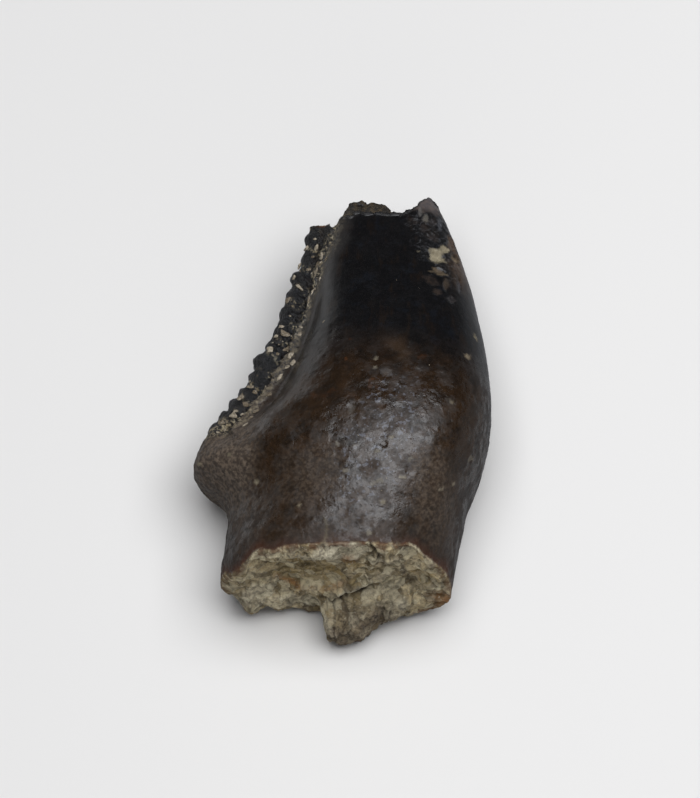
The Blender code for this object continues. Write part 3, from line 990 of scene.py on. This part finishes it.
def tooth_material():
    m = Nodes("fossil_enamel_and_dentine")
    frac, tip, band = m.attribute("fracture"), m.attribute("tip"), m.attribute("band")
    black, dust, lip = m.attribute("black"), m.attribute("dust"), m.attribute("lip")
    tone, tan, grey = m.attribute("tone"), m.attribute("tan"), m.attribute("grey")

    # enamel: black crown, dark brown middle, greyer brown base
    streak = m.noise(1.0, 5.0, 0.6, m.stretch((5.0, 0.8, 5.0)))
    cloud = m.noise(0.9, 4.0, 0.55)
    mottle = m.noise(3.0, 6.0, 0.62)
    fine = m.noise(12.0, 4.0, 0.6)
    grit = m.noise(34.0, 3.0, 0.6)
    brown = m.mix(m.ramp(mottle, 0.33, 0.68), srgb(20, 12, 5), srgb(44, 29, 15))
    brown = m.mix(m.ramp(cloud, 0.42, 0.66, 0.0, 0.55), brown, srgb(40, 25, 9))
    brown = m.mix(m.ramp(streak, 0.45, 0.75, 0.0, 0.5), brown, srgb(22, 14, 6))
    brown = m.mix(m.ramp(fine, 0.56, 0.76, 0.0, 0.30), brown, srgb(58, 41, 24))
    brown = m.mix(m.ramp(grit, 0.60, 0.76, 0.0, 0.35), brown, srgb(72, 56, 38))
    brown = m.mix(m.ramp(grit, 0.40, 0.26, 0.0, 0.6), brown, srgb(16, 12, 10))
    ashen = m.mix(m.ramp(fine, 0.38, 0.66), srgb(54, 44, 35), srgb(95, 82, 69))
    # the grey mix: dusty ashen enamel on the swollen left bulge, plus painted sheen beside the belly highlight
    brown = m.mix(grey, brown, ashen)
    spots = m.math("MULTIPLY", m.ramp(m.noise(2.2, 3.0, 0.5), 0.60, 0.70), m.attribute("amber"))
    brown = m.mix(spots, brown, srgb(84, 47, 18))
    brown = m.mix(m.attribute("red"), brown, srgb(68, 36, 18))
    # a lighter warm-brown patch on the crown, partly the enamel's own tone and partly painted sheen
    brown = m.mix(m.attribute("warm_tone_and_sheen"), brown, srgb(86, 66, 48))
    dark = m.mix(m.ramp(fine, 0.4, 0.7), srgb(6, 6, 7), srgb(13, 11, 12))
    dark = m.mix(m.ramp(grit, 0.63, 0.78, 0.0, 0.4), dark, srgb(40, 36, 34))
    dark = m.mix(m.ramp(streak, 0.50, 0.72, 0.0, 0.8), dark, srgb(24, 16, 10))
    dark = m.mix(m.ramp(mottle, 0.52, 0.70, 0.0, 0.7), dark, srgb(14, 17, 22))
    enamel = m.mix(black, brown, dark)
    # painted sheen: blue-grey laid along the shoulder just inside the lip, where the enamel catches the light
    enamel = m.mix(m.attribute("sheen_strip"), enamel, srgb(64, 61, 59))
    glints = m.math("MULTIPLY", m.attribute("glint"), m.ramp(m.noise(10.0, 2.0, 0.5), 0.57, 0.66, 0.0, 0.55))
    enamel = m.mix(glints, enamel, srgb(97, 99, 107))

    # chips and flecks
    facets = m.ramp(m.voronoi(4.6, "DISTANCE_TO_EDGE", vector=m.warped(0.25)), 0.070, 0.020)
    facets = m.math("MULTIPLY", m.math("MULTIPLY", facets, m.attribute("chipped")), m.ramp(fine, 0.42, 0.62))
    enamel = m.mix(facets, enamel, srgb(54, 54, 56))
    enamel = m.mix(m.attribute("brown_fleck"), enamel, m.mix(m.ramp(fine, 0.35, 0.65), srgb(62, 46, 34), srgb(98, 78, 60)))
    # blue-grey flecks: partly real blue-grey enamel and chip floors, partly painted glints on the belly and near
    # the tip
    enamel = m.mix(m.attribute("blue_fleck_and_glint"), enamel, srgb(84, 85, 90))
    cream = m.mix(m.ramp(mottle, 0.35, 0.65), srgb(128, 114, 88), srgb(166, 155, 130))
    # pale flecks: cream chips, pale spots and a hairline crack, plus painted highlight specks on the belly
    enamel = m.mix(m.attribute("pale_fleck_and_glint"), enamel, m.mix(m.ramp(mottle, 0.35, 0.65), srgb(104, 95, 75), srgb(142, 132, 109)))

    # the root break: cream, tan and grey scales, ochre stains, a dark crack, and painted shade under flake edges,
    # scales and the undercut
    speck = m.noise(9.0, 5.0, 0.7)
    bone = m.mix(m.ramp(tone, 0.26, 0.74), srgb(100, 87, 66), srgb(200, 184, 148))
    bone = m.mix(m.ramp(m.noise(3.2, 4.0, 0.6), 0.45, 0.66, 0.0, 0.8), bone, srgb(156, 136, 94))
    bone = m.mix(tan, bone, srgb(168, 146, 98))
    bone = m.mix(m.ramp(m.attribute("pale"), 0.1, 1.0, 0.0, 0.8), bone, srgb(206, 197, 172))
    flake_at = m.warped(0.12)
    flake = m.voronoi(4.2, "F1", "Color", vector=flake_at)
    flake_edge = m.voronoi(4.2, "DISTANCE_TO_EDGE", vector=flake_at)
    bone = m.mix(m.ramp(flake, 0.50, 0.70, 0.0, 0.55), bone, srgb(206, 197, 168))
    bone = m.mix(m.ramp(flake, 0.40, 0.25, 0.0, 0.40), bone, srgb(104, 94, 72))
    bone = m.mix(m.ramp(flake_edge, 0.045, 0.0, 0.0, 0.32), bone, srgb(58, 50, 38))
    bone = m.mix(m.attribute("rust"), bone, srgb(150, 102, 56))
    bone = m.mix(m.attribute("spur"), bone, srgb(96, 84, 70))
    peppered = m.math("MULTIPLY", m.attribute("spur"), m.ramp(m.noise(13.0, 4.0, 0.7), 0.50, 0.60))
    bone = m.mix(peppered, bone, srgb(54, 45, 37))
    bone = m.mix(m.ramp(speck, 0.54, 0.70, 0.0, 0.75), bone, srgb(62, 54, 44))
    crystals = m.math("MULTIPLY", m.ramp(m.noise(18.0, 3.0, 0.6), 0.56, 0.72, 0.0, 0.6), m.ramp(m.attribute("spur"), 0.7, 0.2, 0.15, 1.0))
    bone = m.mix(crystals, bone, srgb(208, 200, 176))
    bone = m.mix(m.ramp(grit, 0.42, 0.28, 0.0, 0.6), bone, srgb(52, 44, 34))
    # painted shade under flake edges, scale rims and the undercut, and the dark crack near the top
    bone = m.mix(m.attribute("crack_and_shade_lines"), bone, srgb(42, 35, 27))
    worn = m.math("MULTIPLY", m.attribute("shell"), m.ramp(m.noise(4.0, 4.0, 0.6), 0.38, 0.62))
    bone = m.mix(worn, bone, srgb(86, 54, 33))

    core = m.mix(m.ramp(m.noise(7.0, 4.0, 0.6), 0.4, 0.65), srgb(26, 20, 13), srgb(64, 52, 34))
    core = m.mix(m.ramp(grit, 0.55, 0.78), core, srgb(96, 84, 62))
    core = m.mix(m.attribute("shell"), core, srgb(18, 15, 14))
    core = m.mix(m.attribute("amber_tip"), core, srgb(112, 68, 32))

    colour = m.mix(tip, enamel, core)
    crumbs = m.math("MULTIPLY", m.math("MAXIMUM", dust, lip), m.ramp(m.noise(11.0, 4.0, 0.7), 0.50, 0.58))
    colour = m.mix(crumbs, colour, cream)
    film = m.math("MULTIPLY", m.attribute("film"), m.ramp(m.noise(9.0, 5.0, 0.7), 0.38, 0.58))
    colour = m.mix(film, colour, m.mix(m.ramp(fine, 0.35, 0.7), srgb(86, 76, 62), srgb(142, 131, 108)))
    colour = m.mix(frac, colour, bone)
    m.set("Base Color", colour)

    # gloss: worn satin enamel, glassy beads, dull breaks
    rough = m.ramp(m.noise(2.4, 6.0, 0.66), 0.46, 0.56, 0.24, 0.48)
    rough = m.math("ADD", rough, m.ramp(m.noise(9.0, 3.0, 0.6), 0.5, 0.62, 0.0, 0.12))
    worn_even = m.math("MULTIPLY", m.math("SUBTRACT", 0.285, rough), m.math("MAXIMUM", black, m.attribute("satin")))
    rough = m.math("ADD", rough, m.math("MULTIPLY", worn_even, 0.8))
    rough = m.math("ADD", rough, m.math("MULTIPLY", m.attribute("rim"), 0.16))
    rough = m.math("ADD", rough, m.math("MULTIPLY", m.attribute("chipped"), 0.10))
    rough = m.math("ADD", rough, m.math("MULTIPLY", band, 0.04))
    rough = m.math("ADD", rough, m.math("MULTIPLY", grey, 0.30))
    dull = m.math("MAXIMUM", frac, m.math("MULTIPLY", tip, 0.7))
    dull = m.math("MAXIMUM", dull, m.math("MAXIMUM", crumbs, film))
    dull = m.math("MAXIMUM", dull, m.math("MULTIPLY", m.attribute("pale_fleck_and_glint"), 0.5))
    rough = m.math("ADD", rough, m.math("MULTIPLY", dull, 0.50), clamp=True)
    m.set("Roughness", rough)
    m.shader.inputs["IOR"].default_value = 1.50
    m.shader.inputs["Specular IOR Level"].default_value = 0.42

    # relief: lumps and pits on the enamel, knobs on the beads, flake edges and grain on the breaks
    calm = m.ramp(black, 0.2, 1.0, 1.0, 0.35)
    lumps = m.math("MULTIPLY", m.noise(6.0, 4.0, 0.55), calm)
    relief = m.bump(lumps, 0.38, 0.04)
    knobs = m.math("MULTIPLY", m.noise(7.0, 5.0, 0.62), band)
    relief = m.bump(knobs, 0.9, 0.13, relief)
    cells = m.math("MULTIPLY", m.ramp(m.voronoi(8.0), 0.0, 0.40), calm)
    relief = m.bump(cells, 0.20, 0.02, relief)
    flaky = m.math("MULTIPLY", m.ramp(flake_edge, 0.0, 0.12), frac)
    relief = m.bump(flaky, 0.35, 0.035, relief)
    grain = m.noise(24.0, 5.0, 0.7)
    depth = m.math("MULTIPLY", grain, m.math("ADD", m.math("MAXIMUM", dull, m.math("MULTIPLY", band, 0.6)), 0.07))
    relief = m.bump(depth, 0.7, 0.05, relief)
    m.set("Normal", relief)
    return m.mat


def paint_tooth(obj):
    p = mesh_points(obj)
    x, y, z = p.T
    frac, tip, band = fracture_mask(p), tip_mask(p), band_mask(p)
    wander = fbm(x, y, z, 0.9, 3, 201)
    fine = fbm(x, y, z, 0.25, 3, 211)
    give(obj, "fracture", frac)
    give(obj, "tip", tip)
    give(obj, "band", band)
    edge = 0.62 - 0.16 * x + 0.45 * wander + 0.15 * fine
    black = smoothstep(-1.30, 0.90, y - edge)
    black = np.maximum(black, band * (1 - 0.15 * smoothstep(0.5, -0.8, y)))
    give(obj, "black", black)
    satin = np.hypot((x + 0.75 + 0.3 * wander) / 1.15, (y + 0.15) / 1.35)
    outer = smoothstep(1.3, 2.1, z + 0.3 * wander)  # the bulging face, fading out down the sides
    give(obj, "satin", smoothstep(1.15, 0.55, satin) * outer)
    give(obj, "amber", bump((y - 0.4) / 1.5) * smoothstep(2.4, 0.4, x) * smoothstep(-1.6, -0.8, x))
    low = smoothstep(-0.4, -3.0, y + 0.5 * wander)
    swollen = smoothstep(-1.7, -2.6, x + 0.3 * wander) * smoothstep(0.0, -1.2, y) * smoothstep(-3.6, -2.0, y)
    # grey mix: ashen dusty enamel on the swollen left bulge and towards the root, plus two painted sheen patches
    # either side of the belly's highlight
    side = np.hypot((x + 0.85 + 0.3 * wander) / 0.85, (y + 2.65) / 0.95)
    left_sheen = smoothstep(1.1, 0.4, side + 0.3 * fine) * outer
    right_sheen = np.hypot((x - 1.85 + 0.3 * wander) / 0.62, (y + 2.9) / 1.15)
    right_sheen = smoothstep(1.15, 0.3, right_sheen + 0.3 * fine) * outer
    give(obj, "grey", np.clip(0.10 * low + 0.92 * swollen + 0.32 * left_sheen + 0.40 * right_sheen, 0, 1))
    near_break = smoothstep(0.34, 0.0, y - read_grid(ROOT["y"], x, z) + 0.12 * fine)
    give(obj, "red", near_break * (0.25 + 0.6 * smoothstep(0.9, 2.4, np.abs(x + 0.2))))
    rim = smoothstep(0.75, 0.15, y - read_grid(ROOT["y"], x, z) + 0.25 * fine)
    for cx, cy, r in ((0.57, -2.70, 0.36), (0.02, -3.75, 0.42), (0.52, -1.38, 0.34)):
        spot = np.hypot(x - cx, y - cy) / r + 0.6 * fine
        rim = np.maximum(rim, 1.3 * smoothstep(1.25, 0.45, spot) * outer)
    give(obj, "rim", rim)
    glint = np.hypot((x - 0.65 - 0.35 * (y + 2.0) + 0.3 * wander) / 1.0, (y + 2.0) / 1.9)
    give(obj, "glint", smoothstep(1.15, 0.5, glint + 0.3 * fine) * outer)
    # where the lighter warm-brown patch goes, partly the enamel's tone and partly painted sheen
    streak = np.hypot((x - 0.85 - 0.35 * (1.1 - y)) / 0.42, (y - 0.75) / 0.85)
    give(obj, "warm_tone_and_sheen", 0.75 * smoothstep(1.15, 0.2, streak + 0.5 * fine) * outer)

    # dust in the gaps between the beads, and along the enamel lip
    d = bead_field(x.copy(), y.copy(), z.copy())
    gap = smoothstep(0.03, 0.10, d) * band
    give(obj, "dust", gap * smoothstep(-0.35, 0.25, fbm(x, y, z, 0.3, 3, 221)))
    from_edge = x - keel_edge(y)
    line = smoothstep(0.10, 0.02, np.abs(from_edge - lip_distance(y) - 0.03))
    line = line * smoothstep(-1.1, -0.85, y) * smoothstep(0.1, 0.5, z - 1.9)
    give(obj, "lip", line * smoothstep(-0.30, 0.15, fbm(x, y, z, 0.35, 2, 225)))
    inside = from_edge - lip_distance(y)
    film = smoothstep(-0.02, 0.06, inside) * smoothstep(0.34, 0.10, inside + 0.08 * fine)
    film = film * smoothstep(-1.2, -0.7, y) * (0.35 + 0.65 * smoothstep(1.9, 1.2, y))
    give(obj, "film", 0.75 * film * smoothstep(0.1, 0.5, z - 1.9))
    # a painted sheen strip along the shoulder just inside the lip, where the enamel catches the light
    sheen_strip = smoothstep(-0.02, 0.10, inside) * smoothstep(0.60, 0.30, inside + 0.04 * fine)
    sheen_strip = sheen_strip * smoothstep(-1.6, -0.4, y) * smoothstep(0.1, 0.5, z - 1.9)
    give(obj, "sheen_strip", sheen_strip * (0.32 + 0.12 * wander))

    give(obj, "tone", read_grid(ROOT["tone"], x, z))
    corner = 0.5 * smoothstep(0.55, 0.15, np.hypot(x + 2.2, z - 0.9) + 0.2 * fine)
    give(obj, "pale", np.maximum(read_grid(ROOT["pale"], x, z), corner))
    hollow = read_grid(ROOT["hollow"], x, z)
    leaf = read_grid(ROOT["leaf"], x, z)
    ochre = smoothstep(0.1, 0.6, fbm(x, y, z, 0.7, 2, 231))
    give(obj, "tan", np.clip(0.55 * hollow + 0.45 * ochre, 0, 0.8))
    rust = 0.8 * smoothstep(0.11, 0.02, np.abs(leaf - 0.93)) * smoothstep(2.0, 1.6, z)
    rust = np.maximum(rust, 0.8 * smoothstep(0.30, 0.1, np.hypot(x - 0.0, z - 3.0)))
    rust = np.maximum(rust, smoothstep(0.5, 0.15, np.hypot(x - 2.1, 0.8 * (z - 1.1))))
    give(obj, "rust", np.clip(rust, 0, 1) * (0.25 + 0.55 * smoothstep(-0.3, 0.4, fine)))
    give(obj, "spur", 0.75 * read_grid(ROOT["spur"], x, z))
    # the painted shade lines of the root break, with its dark crack
    give(obj, "crack_and_shade_lines", np.clip(0.62 * read_grid(ROOT["crack_and_shade_lines"], x, z) + 0.7 * read_grid(ROOT["gap"], x, z), 0, 1))
    depth = -base_field(x, y, z)
    shell = smoothstep(0.15, 0.07, depth + 0.03 * fine)
    give(obj, "shell", shell * np.where(frac > 0.5, 0.75, 1.0))
    give(obj, "amber_tip", smoothstep(0.28, 0.06, np.hypot(x + 0.55, z - 2.37)) * tip * (0.45 + 0.55 * smoothstep(-0.2, 0.3, fine)))

    pale, brown, blue = np.zeros(len(x)), np.zeros(len(x)), np.zeros(len(x))
    ragged = 0.75 * fbm(x, y, z, 0.14, 3, 241)
    for c, axes, ru, rv, how_pale, how_brown, how_blue in FLECK_PLACES:
        near = np.abs(p - c).sum(1) < 3.0 * max(ru, rv) + 0.1
        a, b, w = (p[near] - c) @ axes.T[:, 0], (p[near] - c) @ axes.T[:, 1], (p[near] - c) @ axes.T[:, 2]
        r = np.sqrt((a / ru) ** 2 + (b / rv) ** 2 + (w / 0.25) ** 2)
        r = r * (1.0 + 0.9 * ragged[near]) + 0.5 * ragged[near]
        on = smoothstep(1.10, 0.60, r)
        for values, how in ((pale, how_pale), (brown, how_brown), (blue, how_blue)):
            values[near] = np.maximum(values[near], on * how)
    give(obj, "chipped", chip_zone(p))
    # thin brown enamel along the right edge, and the pale peak of the tip
    edge = smoothstep(2.10, 2.55, x + 0.12 * fine) * smoothstep(2.0, 3.2, y + 0.5 * wander)
    edge = edge * smoothstep(1.3, 2.3, z + 0.4 * wander + 0.2 * fine)
    peak = smoothstep(4.40, 4.72, y + 0.15 * fine) * smoothstep(1.2, 1.5, x)
    brown = np.maximum(brown, np.maximum(0.60 * edge, 0.85 * peak) * (1 - pale))
    blue = np.maximum(blue, 0.50 * peak * (1 - pale))
    # a pale hairline crack running up from the root break
    path = -0.56 + 0.04 * np.sin(6.0 * y) + 0.02 * fine
    crack = smoothstep(0.045, 0.015, np.abs(x - path)) * smoothstep(-3.55, -3.75, y) * (z > 2.0)
    pale = np.maximum(pale, 0.26 * crack)
    # pale and blue-grey flecks: real chips and spots, plus painted highlight specks on the belly and painted glints
    # near the tip
    give(obj, "pale_fleck_and_glint", pale)
    give(obj, "brown_fleck", brown)
    give(obj, "blue_fleck_and_glint", blue)


# ------------------------------------------------------------- sediment grains
# Grains of the old sediment caught on the keel: picture position, length and breadth
# in picture points, and turn in degrees.
GRAINS = (
    (307, 248, 8, 6, 30), (317, 247, 8, 4, 80), (313, 257, 5, 3, 20), (321, 256, 7, 3, 35),
    (300, 266, 8, 7, 60), (309, 270, 6, 5, 0), (316, 273, 17, 6, 85), (294, 278, 6, 5, 40),
    (299, 287, 9, 4, -45), (288, 301, 8, 7, 70), (309, 299, 8, 4, 80), (312, 293, 8, 3, 75),
    (320, 279, 6, 3, 70), (326, 259, 6, 3, 85), (282, 327, 8, 5, -20), (285, 333, 10, 6, -35),
    (301, 327, 5, 4, 0), (300, 335, 6, 5, 60), (290, 316, 4, 2, 0), (270, 350, 9, 7, -10),
    (277, 354, 6, 4, -30), (286, 349, 12, 4, 30), (291, 356, 9, 5, 60), (293, 363, 8, 6, 70),
    (287, 367, 6, 5, 40), (280, 377, 10, 4, 60), (250, 387, 9, 4, -20), (255, 392, 7, 5, -50),
    (241, 398, 10, 6, -15), (245, 404, 9, 6, -40), (269, 395, 7, 6, 30), (256, 411, 9, 3, 45),
    (250, 418, 8, 3, 50), (245, 425, 8, 3, 55), (234, 416, 10, 7, 10), (222, 423, 10, 7, -20),
    (225, 431, 8, 5, -70), (235, 434, 4, 3, 0), (214, 434, 5, 4, 0), (303, 281, 4, 3, 10),
)


def drop(x, y, down=True):
    """The first point of the tooth met from above, or from below."""
    z = np.linspace(5.0, -0.2, 521) if down else np.linspace(-0.2, 5.0, 521)
    one = np.ones(len(z))
    d = tooth_field(x * one, y * one, z)
    hit = np.nonzero(d < 0)[0]
    return np.array((x, y, z[hit[0]])) if len(hit) else None


def grain_places():
    places = []
    for u, v, length, breadth, turn in GRAINS:
        p = on_surface(u, v)
        if p is not None:
            places.append((p, 0.5 * length * SCALE, 0.5 * breadth * SCALE, math.radians(turn)))
    rng = np.random.default_rng(77)
    for k in range(84):
        y = rng.uniform(-0.95, 4.05)
        under = k % 2 == 0
        along_lip = rng.random() < 0.35
        gap = lip_distance(y) + rng.normal(0.0, 0.035) if along_lip else rng.uniform(0.05, 0.58)
        p = drop(float(keel_edge(y) + gap), y, not under)
        if p is None:
            continue
        size = 0.5 * SCALE * (1.6 + 3.6 * rng.random() ** 2)
        places.append((p, size * rng.uniform(1.0, 1.9), size, rng.uniform(-1.5, 1.5)))
    # a few on the breaks and in the pits of the belly
    for k in range(24):
        p = drop(rng.uniform(-2.4, 2.2), rng.uniform(-4.0, 2.5), k % 2 == 0)
        if p is None:
            continue
        size = 0.5 * SCALE * (1.0 + 1.6 * rng.random() ** 2)
        places.append((p, size * rng.uniform(1.0, 1.6), size, rng.uniform(-1.5, 1.5)))
    return places


def make_grains():
    """Lumpy grains pressed a third of the way into the surface, as one mesh."""
    balls = {}
    for level in (2, 3):
        bm = bmesh.new()
        bmesh.ops.create_icosphere(bm, subdivisions=level, radius=1.0)
        bm.verts.ensure_lookup_table()
        balls[level] = (
            np.array([v.co[:] for v in bm.verts]),
            np.array([[v.index for v in f.verts] for f in bm.faces]),
        )
        bm.free()
    places = grain_places()
    centres = np.array([p[0] for p in places])
    normals = gradient(centres)
    normals /= np.linalg.norm(normals, axis=1)[:, None]
    verts, faces, tones, count = [], [], [], 0
    rng = np.random.default_rng(78)
    for (c, length, breadth, turn), n in zip(places, normals):
        ball, tri = balls[3 if length > 0.07 else 2]
        side = np.array((math.cos(turn), 0.0, 0.0)) + math.sin(turn) * UP
        side = side - (side @ n) * n
        side /= np.linalg.norm(side)
        other = np.cross(n, side)
        seed = rng.uniform(0.0, 50.0, 3)
        q = ball + seed
        lump = 1.0 + 0.50 * fbm(*q.T, 1.1, 2, 301) + 0.26 * fbm(*q.T, 0.45, 2, 302)
        high = rng.uniform(0.40, 0.62) * breadth
        local = ball * lump[:, None]
        # broken faces, so a grain is a crumb and not a pebble
        for _ in range(7):
            face = rng.normal(size=3)
            face /= np.linalg.norm(face)
            beyond = np.maximum(local @ face - rng.uniform(0.45, 0.85), 0.0)
            local = local - beyond[:, None] * face
        w = (
            c
            + local[:, :1] * side * length
            + local[:, 1:2] * other * breadth
            + (local[:, 2:] + 0.35) * n * high
        )
        verts.append(w)
        faces.append(tri + count)
        tones.append(np.full(len(w), rng.random()))
        count += len(w)
    verts, faces = np.concatenate(verts), np.concatenate(faces)
    verts[:, 2] = np.maximum(verts[:, 2], 0.004)
    mesh = mesh_from_arrays("sediment_grains", to_world(verts), faces)
    obj = link(bpy.data.objects.new("sediment_grains", mesh))
    give(obj, "tone", np.concatenate(tones))
    print("grain triangles", len(faces), "grains", len(places))
    return obj


def grain_material():
    m = Nodes("sediment")
    tone = m.attribute("tone")
    fine = m.noise(14.0, 5.0, 0.65)
    base = m.mix(m.ramp(tone, 0.1, 0.9), srgb(106, 94, 77), srgb(166, 155, 136))
    base = m.mix(m.ramp(fine, 0.40, 0.70, 0.0, 0.8), base, srgb(78, 66, 48))
    base = m.mix(m.ramp(m.noise(40.0, 3.0, 0.6), 0.56, 0.70, 0.0, 0.7), base, srgb(194, 187, 172))
    base = m.mix(m.ramp(m.noise(26.0, 3.0, 0.6), 0.60, 0.72, 0.0, 0.8), base, srgb(46, 38, 28))
    m.set("Base Color", base)
    m.set("Roughness", m.ramp(fine, 0.3, 0.7, 0.62, 0.9))
    m.shader.inputs["Specular IOR Level"].default_value = 0.35
    m.set("Normal", m.bump(m.noise(30.0, 5.0, 0.7), 0.7, 0.03))
    return m.mat


tooth = make_tooth()
paint_tooth(tooth)
tooth.data.materials.clear()
tooth.data.materials.append(tooth_material())
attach(tooth, "root")
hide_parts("tooth")

grains = make_grains()
grains.data.materials.append(grain_material())
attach(grains, "root")


# ------------------------------------------------------------- floor and lights
def floor_material():
    """Plain pale card; gloss on the tooth's right side sees it darker, as if flagged off."""
    m = Nodes("pale_floor")
    cloud = m.noise(0.05, 2.0, 0.5)
    card = m.mix(cloud, (0.708, 0.690, 0.662), (0.718, 0.700, 0.672))
    path = m.tree.nodes.new("ShaderNodeLightPath")
    split = m.tree.nodes.new("ShaderNodeSeparateXYZ")
    m.tree.links.new(m.mm, split.inputs[0])
    lit = m.math("MULTIPLY", m.ramp(split.outputs[0], -7.0, -3.4, 1.0, 0.0), m.ramp(split.outputs[1], -4.0, 2.0))
    flagged = m.mix(lit, (0.24, 0.24, 0.24), card)
    m.set("Base Color", m.mix(path.outputs["Is Glossy Ray"], card, flagged))
    # beyond the reach of the lamps the card runs up into the lit backdrop
    far = m.tree.nodes.new("ShaderNodeVectorMath")
    far.operation = "LENGTH"
    m.tree.links.new(m.mm, far.inputs[0])
    glow = m.ramp(far.outputs["Value"], 9.0, 135.0, 0.0, 0.75)
    m.set("Emission Strength", m.math("MULTIPLY", glow, path.outputs["Is Camera Ray"]))
    m.shader.inputs["Emission Color"].default_value = (1.0, 1.0, 1.0, 1.0)
    m.shader.inputs["Roughness"].default_value = 0.8
    m.shader.inputs["Specular IOR Level"].default_value = 0.2
    return m.mat


def make_floor():
    mesh = bpy.data.meshes.new("floor")
    r = 0.6
    mesh.from_pydata(
        [(-r, -r, -0.00002), (r, -r, -0.00002), (r, r, -0.00002), (-r, r, -0.00002)],
        [],
        [(0, 1, 2, 3)],
    )
    obj = link(bpy.data.objects.new("floor", mesh))
    mesh.materials.append(floor_material())


make_floor()


def area_light(name, position, aim, size_x, size_y, radiance, colour=(1.0, 1.0, 1.0)):
    """A soft panel of a given radiance; sizes and places in millimetres."""
    light = bpy.data.lights.new(name, "AREA")
    light.shape = "RECTANGLE"
    light.size, light.size_y = size_x * MM, size_y * MM
    light.energy = radiance * math.pi * (size_x * MM) * (size_y * MM)
    light.color = colour
    obj = link(bpy.data.objects.new(name, light))
    obj.location = Vector(position) * MM
    direction = Vector(aim) * MM - obj.location
    obj.rotation_euler = direction.to_track_quat("-Z", "Y").to_euler()
    obj.visible_camera = False
    return obj


area_light("overhead", (20, -2, 100), (20, -2, 0), 104, 80, 5.6, (0.975, 1.0, 1.045))
area_light("left_card", (-64, 60, 4), (-1, 1, 2.5), 50, 12, 0.6)
area_light("front_fill", (0, -110, 42), (0, 0, 2), 90, 40, 1.0)

world = bpy.context.scene.world or bpy.data.worlds.new("world")
bpy.context.scene.world = world
world.use_nodes = True
wt = world.node_tree
wt.nodes.clear()
out = wt.nodes.new("ShaderNodeOutputWorld")
back = wt.nodes.new("ShaderNodeBackground")
seen = wt.nodes.new("ShaderNodeBackground")
pick = wt.nodes.new("ShaderNodeMixShader")
path = wt.nodes.new("ShaderNodeLightPath")
back.inputs["Color"].default_value = (0.06, 0.06, 0.064, 1.0)
seen.inputs["Color"].default_value = (0.82, 0.82, 0.82, 1.0)
wt.links.new(path.outputs["Is Camera Ray"], pick.inputs[0])
wt.links.new(back.outputs[0], pick.inputs[1])
wt.links.new(seen.outputs[0], pick.inputs[2])
wt.links.new(pick.outputs[0], out.inputs["Surface"])

scene = bpy.context.scene
scene.view_settings.view_transform = "Standard"
scene.view_settings.look = "None"
scene.view_settings.exposure = 0.0
scene.view_settings.gamma = 1.0

# ---------------------------------------------------------------------- camera
cam_data = bpy.data.cameras.new("camera")
cam = link(bpy.data.objects.new("camera", cam_data))
cam_data.sensor_fit = "VERTICAL"
cam_data.sensor_height = 36.0
cam_data.lens = 36.0 * CAMERA_DISTANCE / (798.0 * SCALE)
eye = to_world(AIM + CAMERA_DISTANCE * VIEW)
aim = to_world(AIM)
cam.location = Vector(eye)
cam.rotation_euler = (Vector(aim) - Vector(eye)).to_track_quat("-Z", "Y").to_euler()
cam_data.clip_start = 0.01
cam_data.clip_end = 5.0
scene.camera = cam
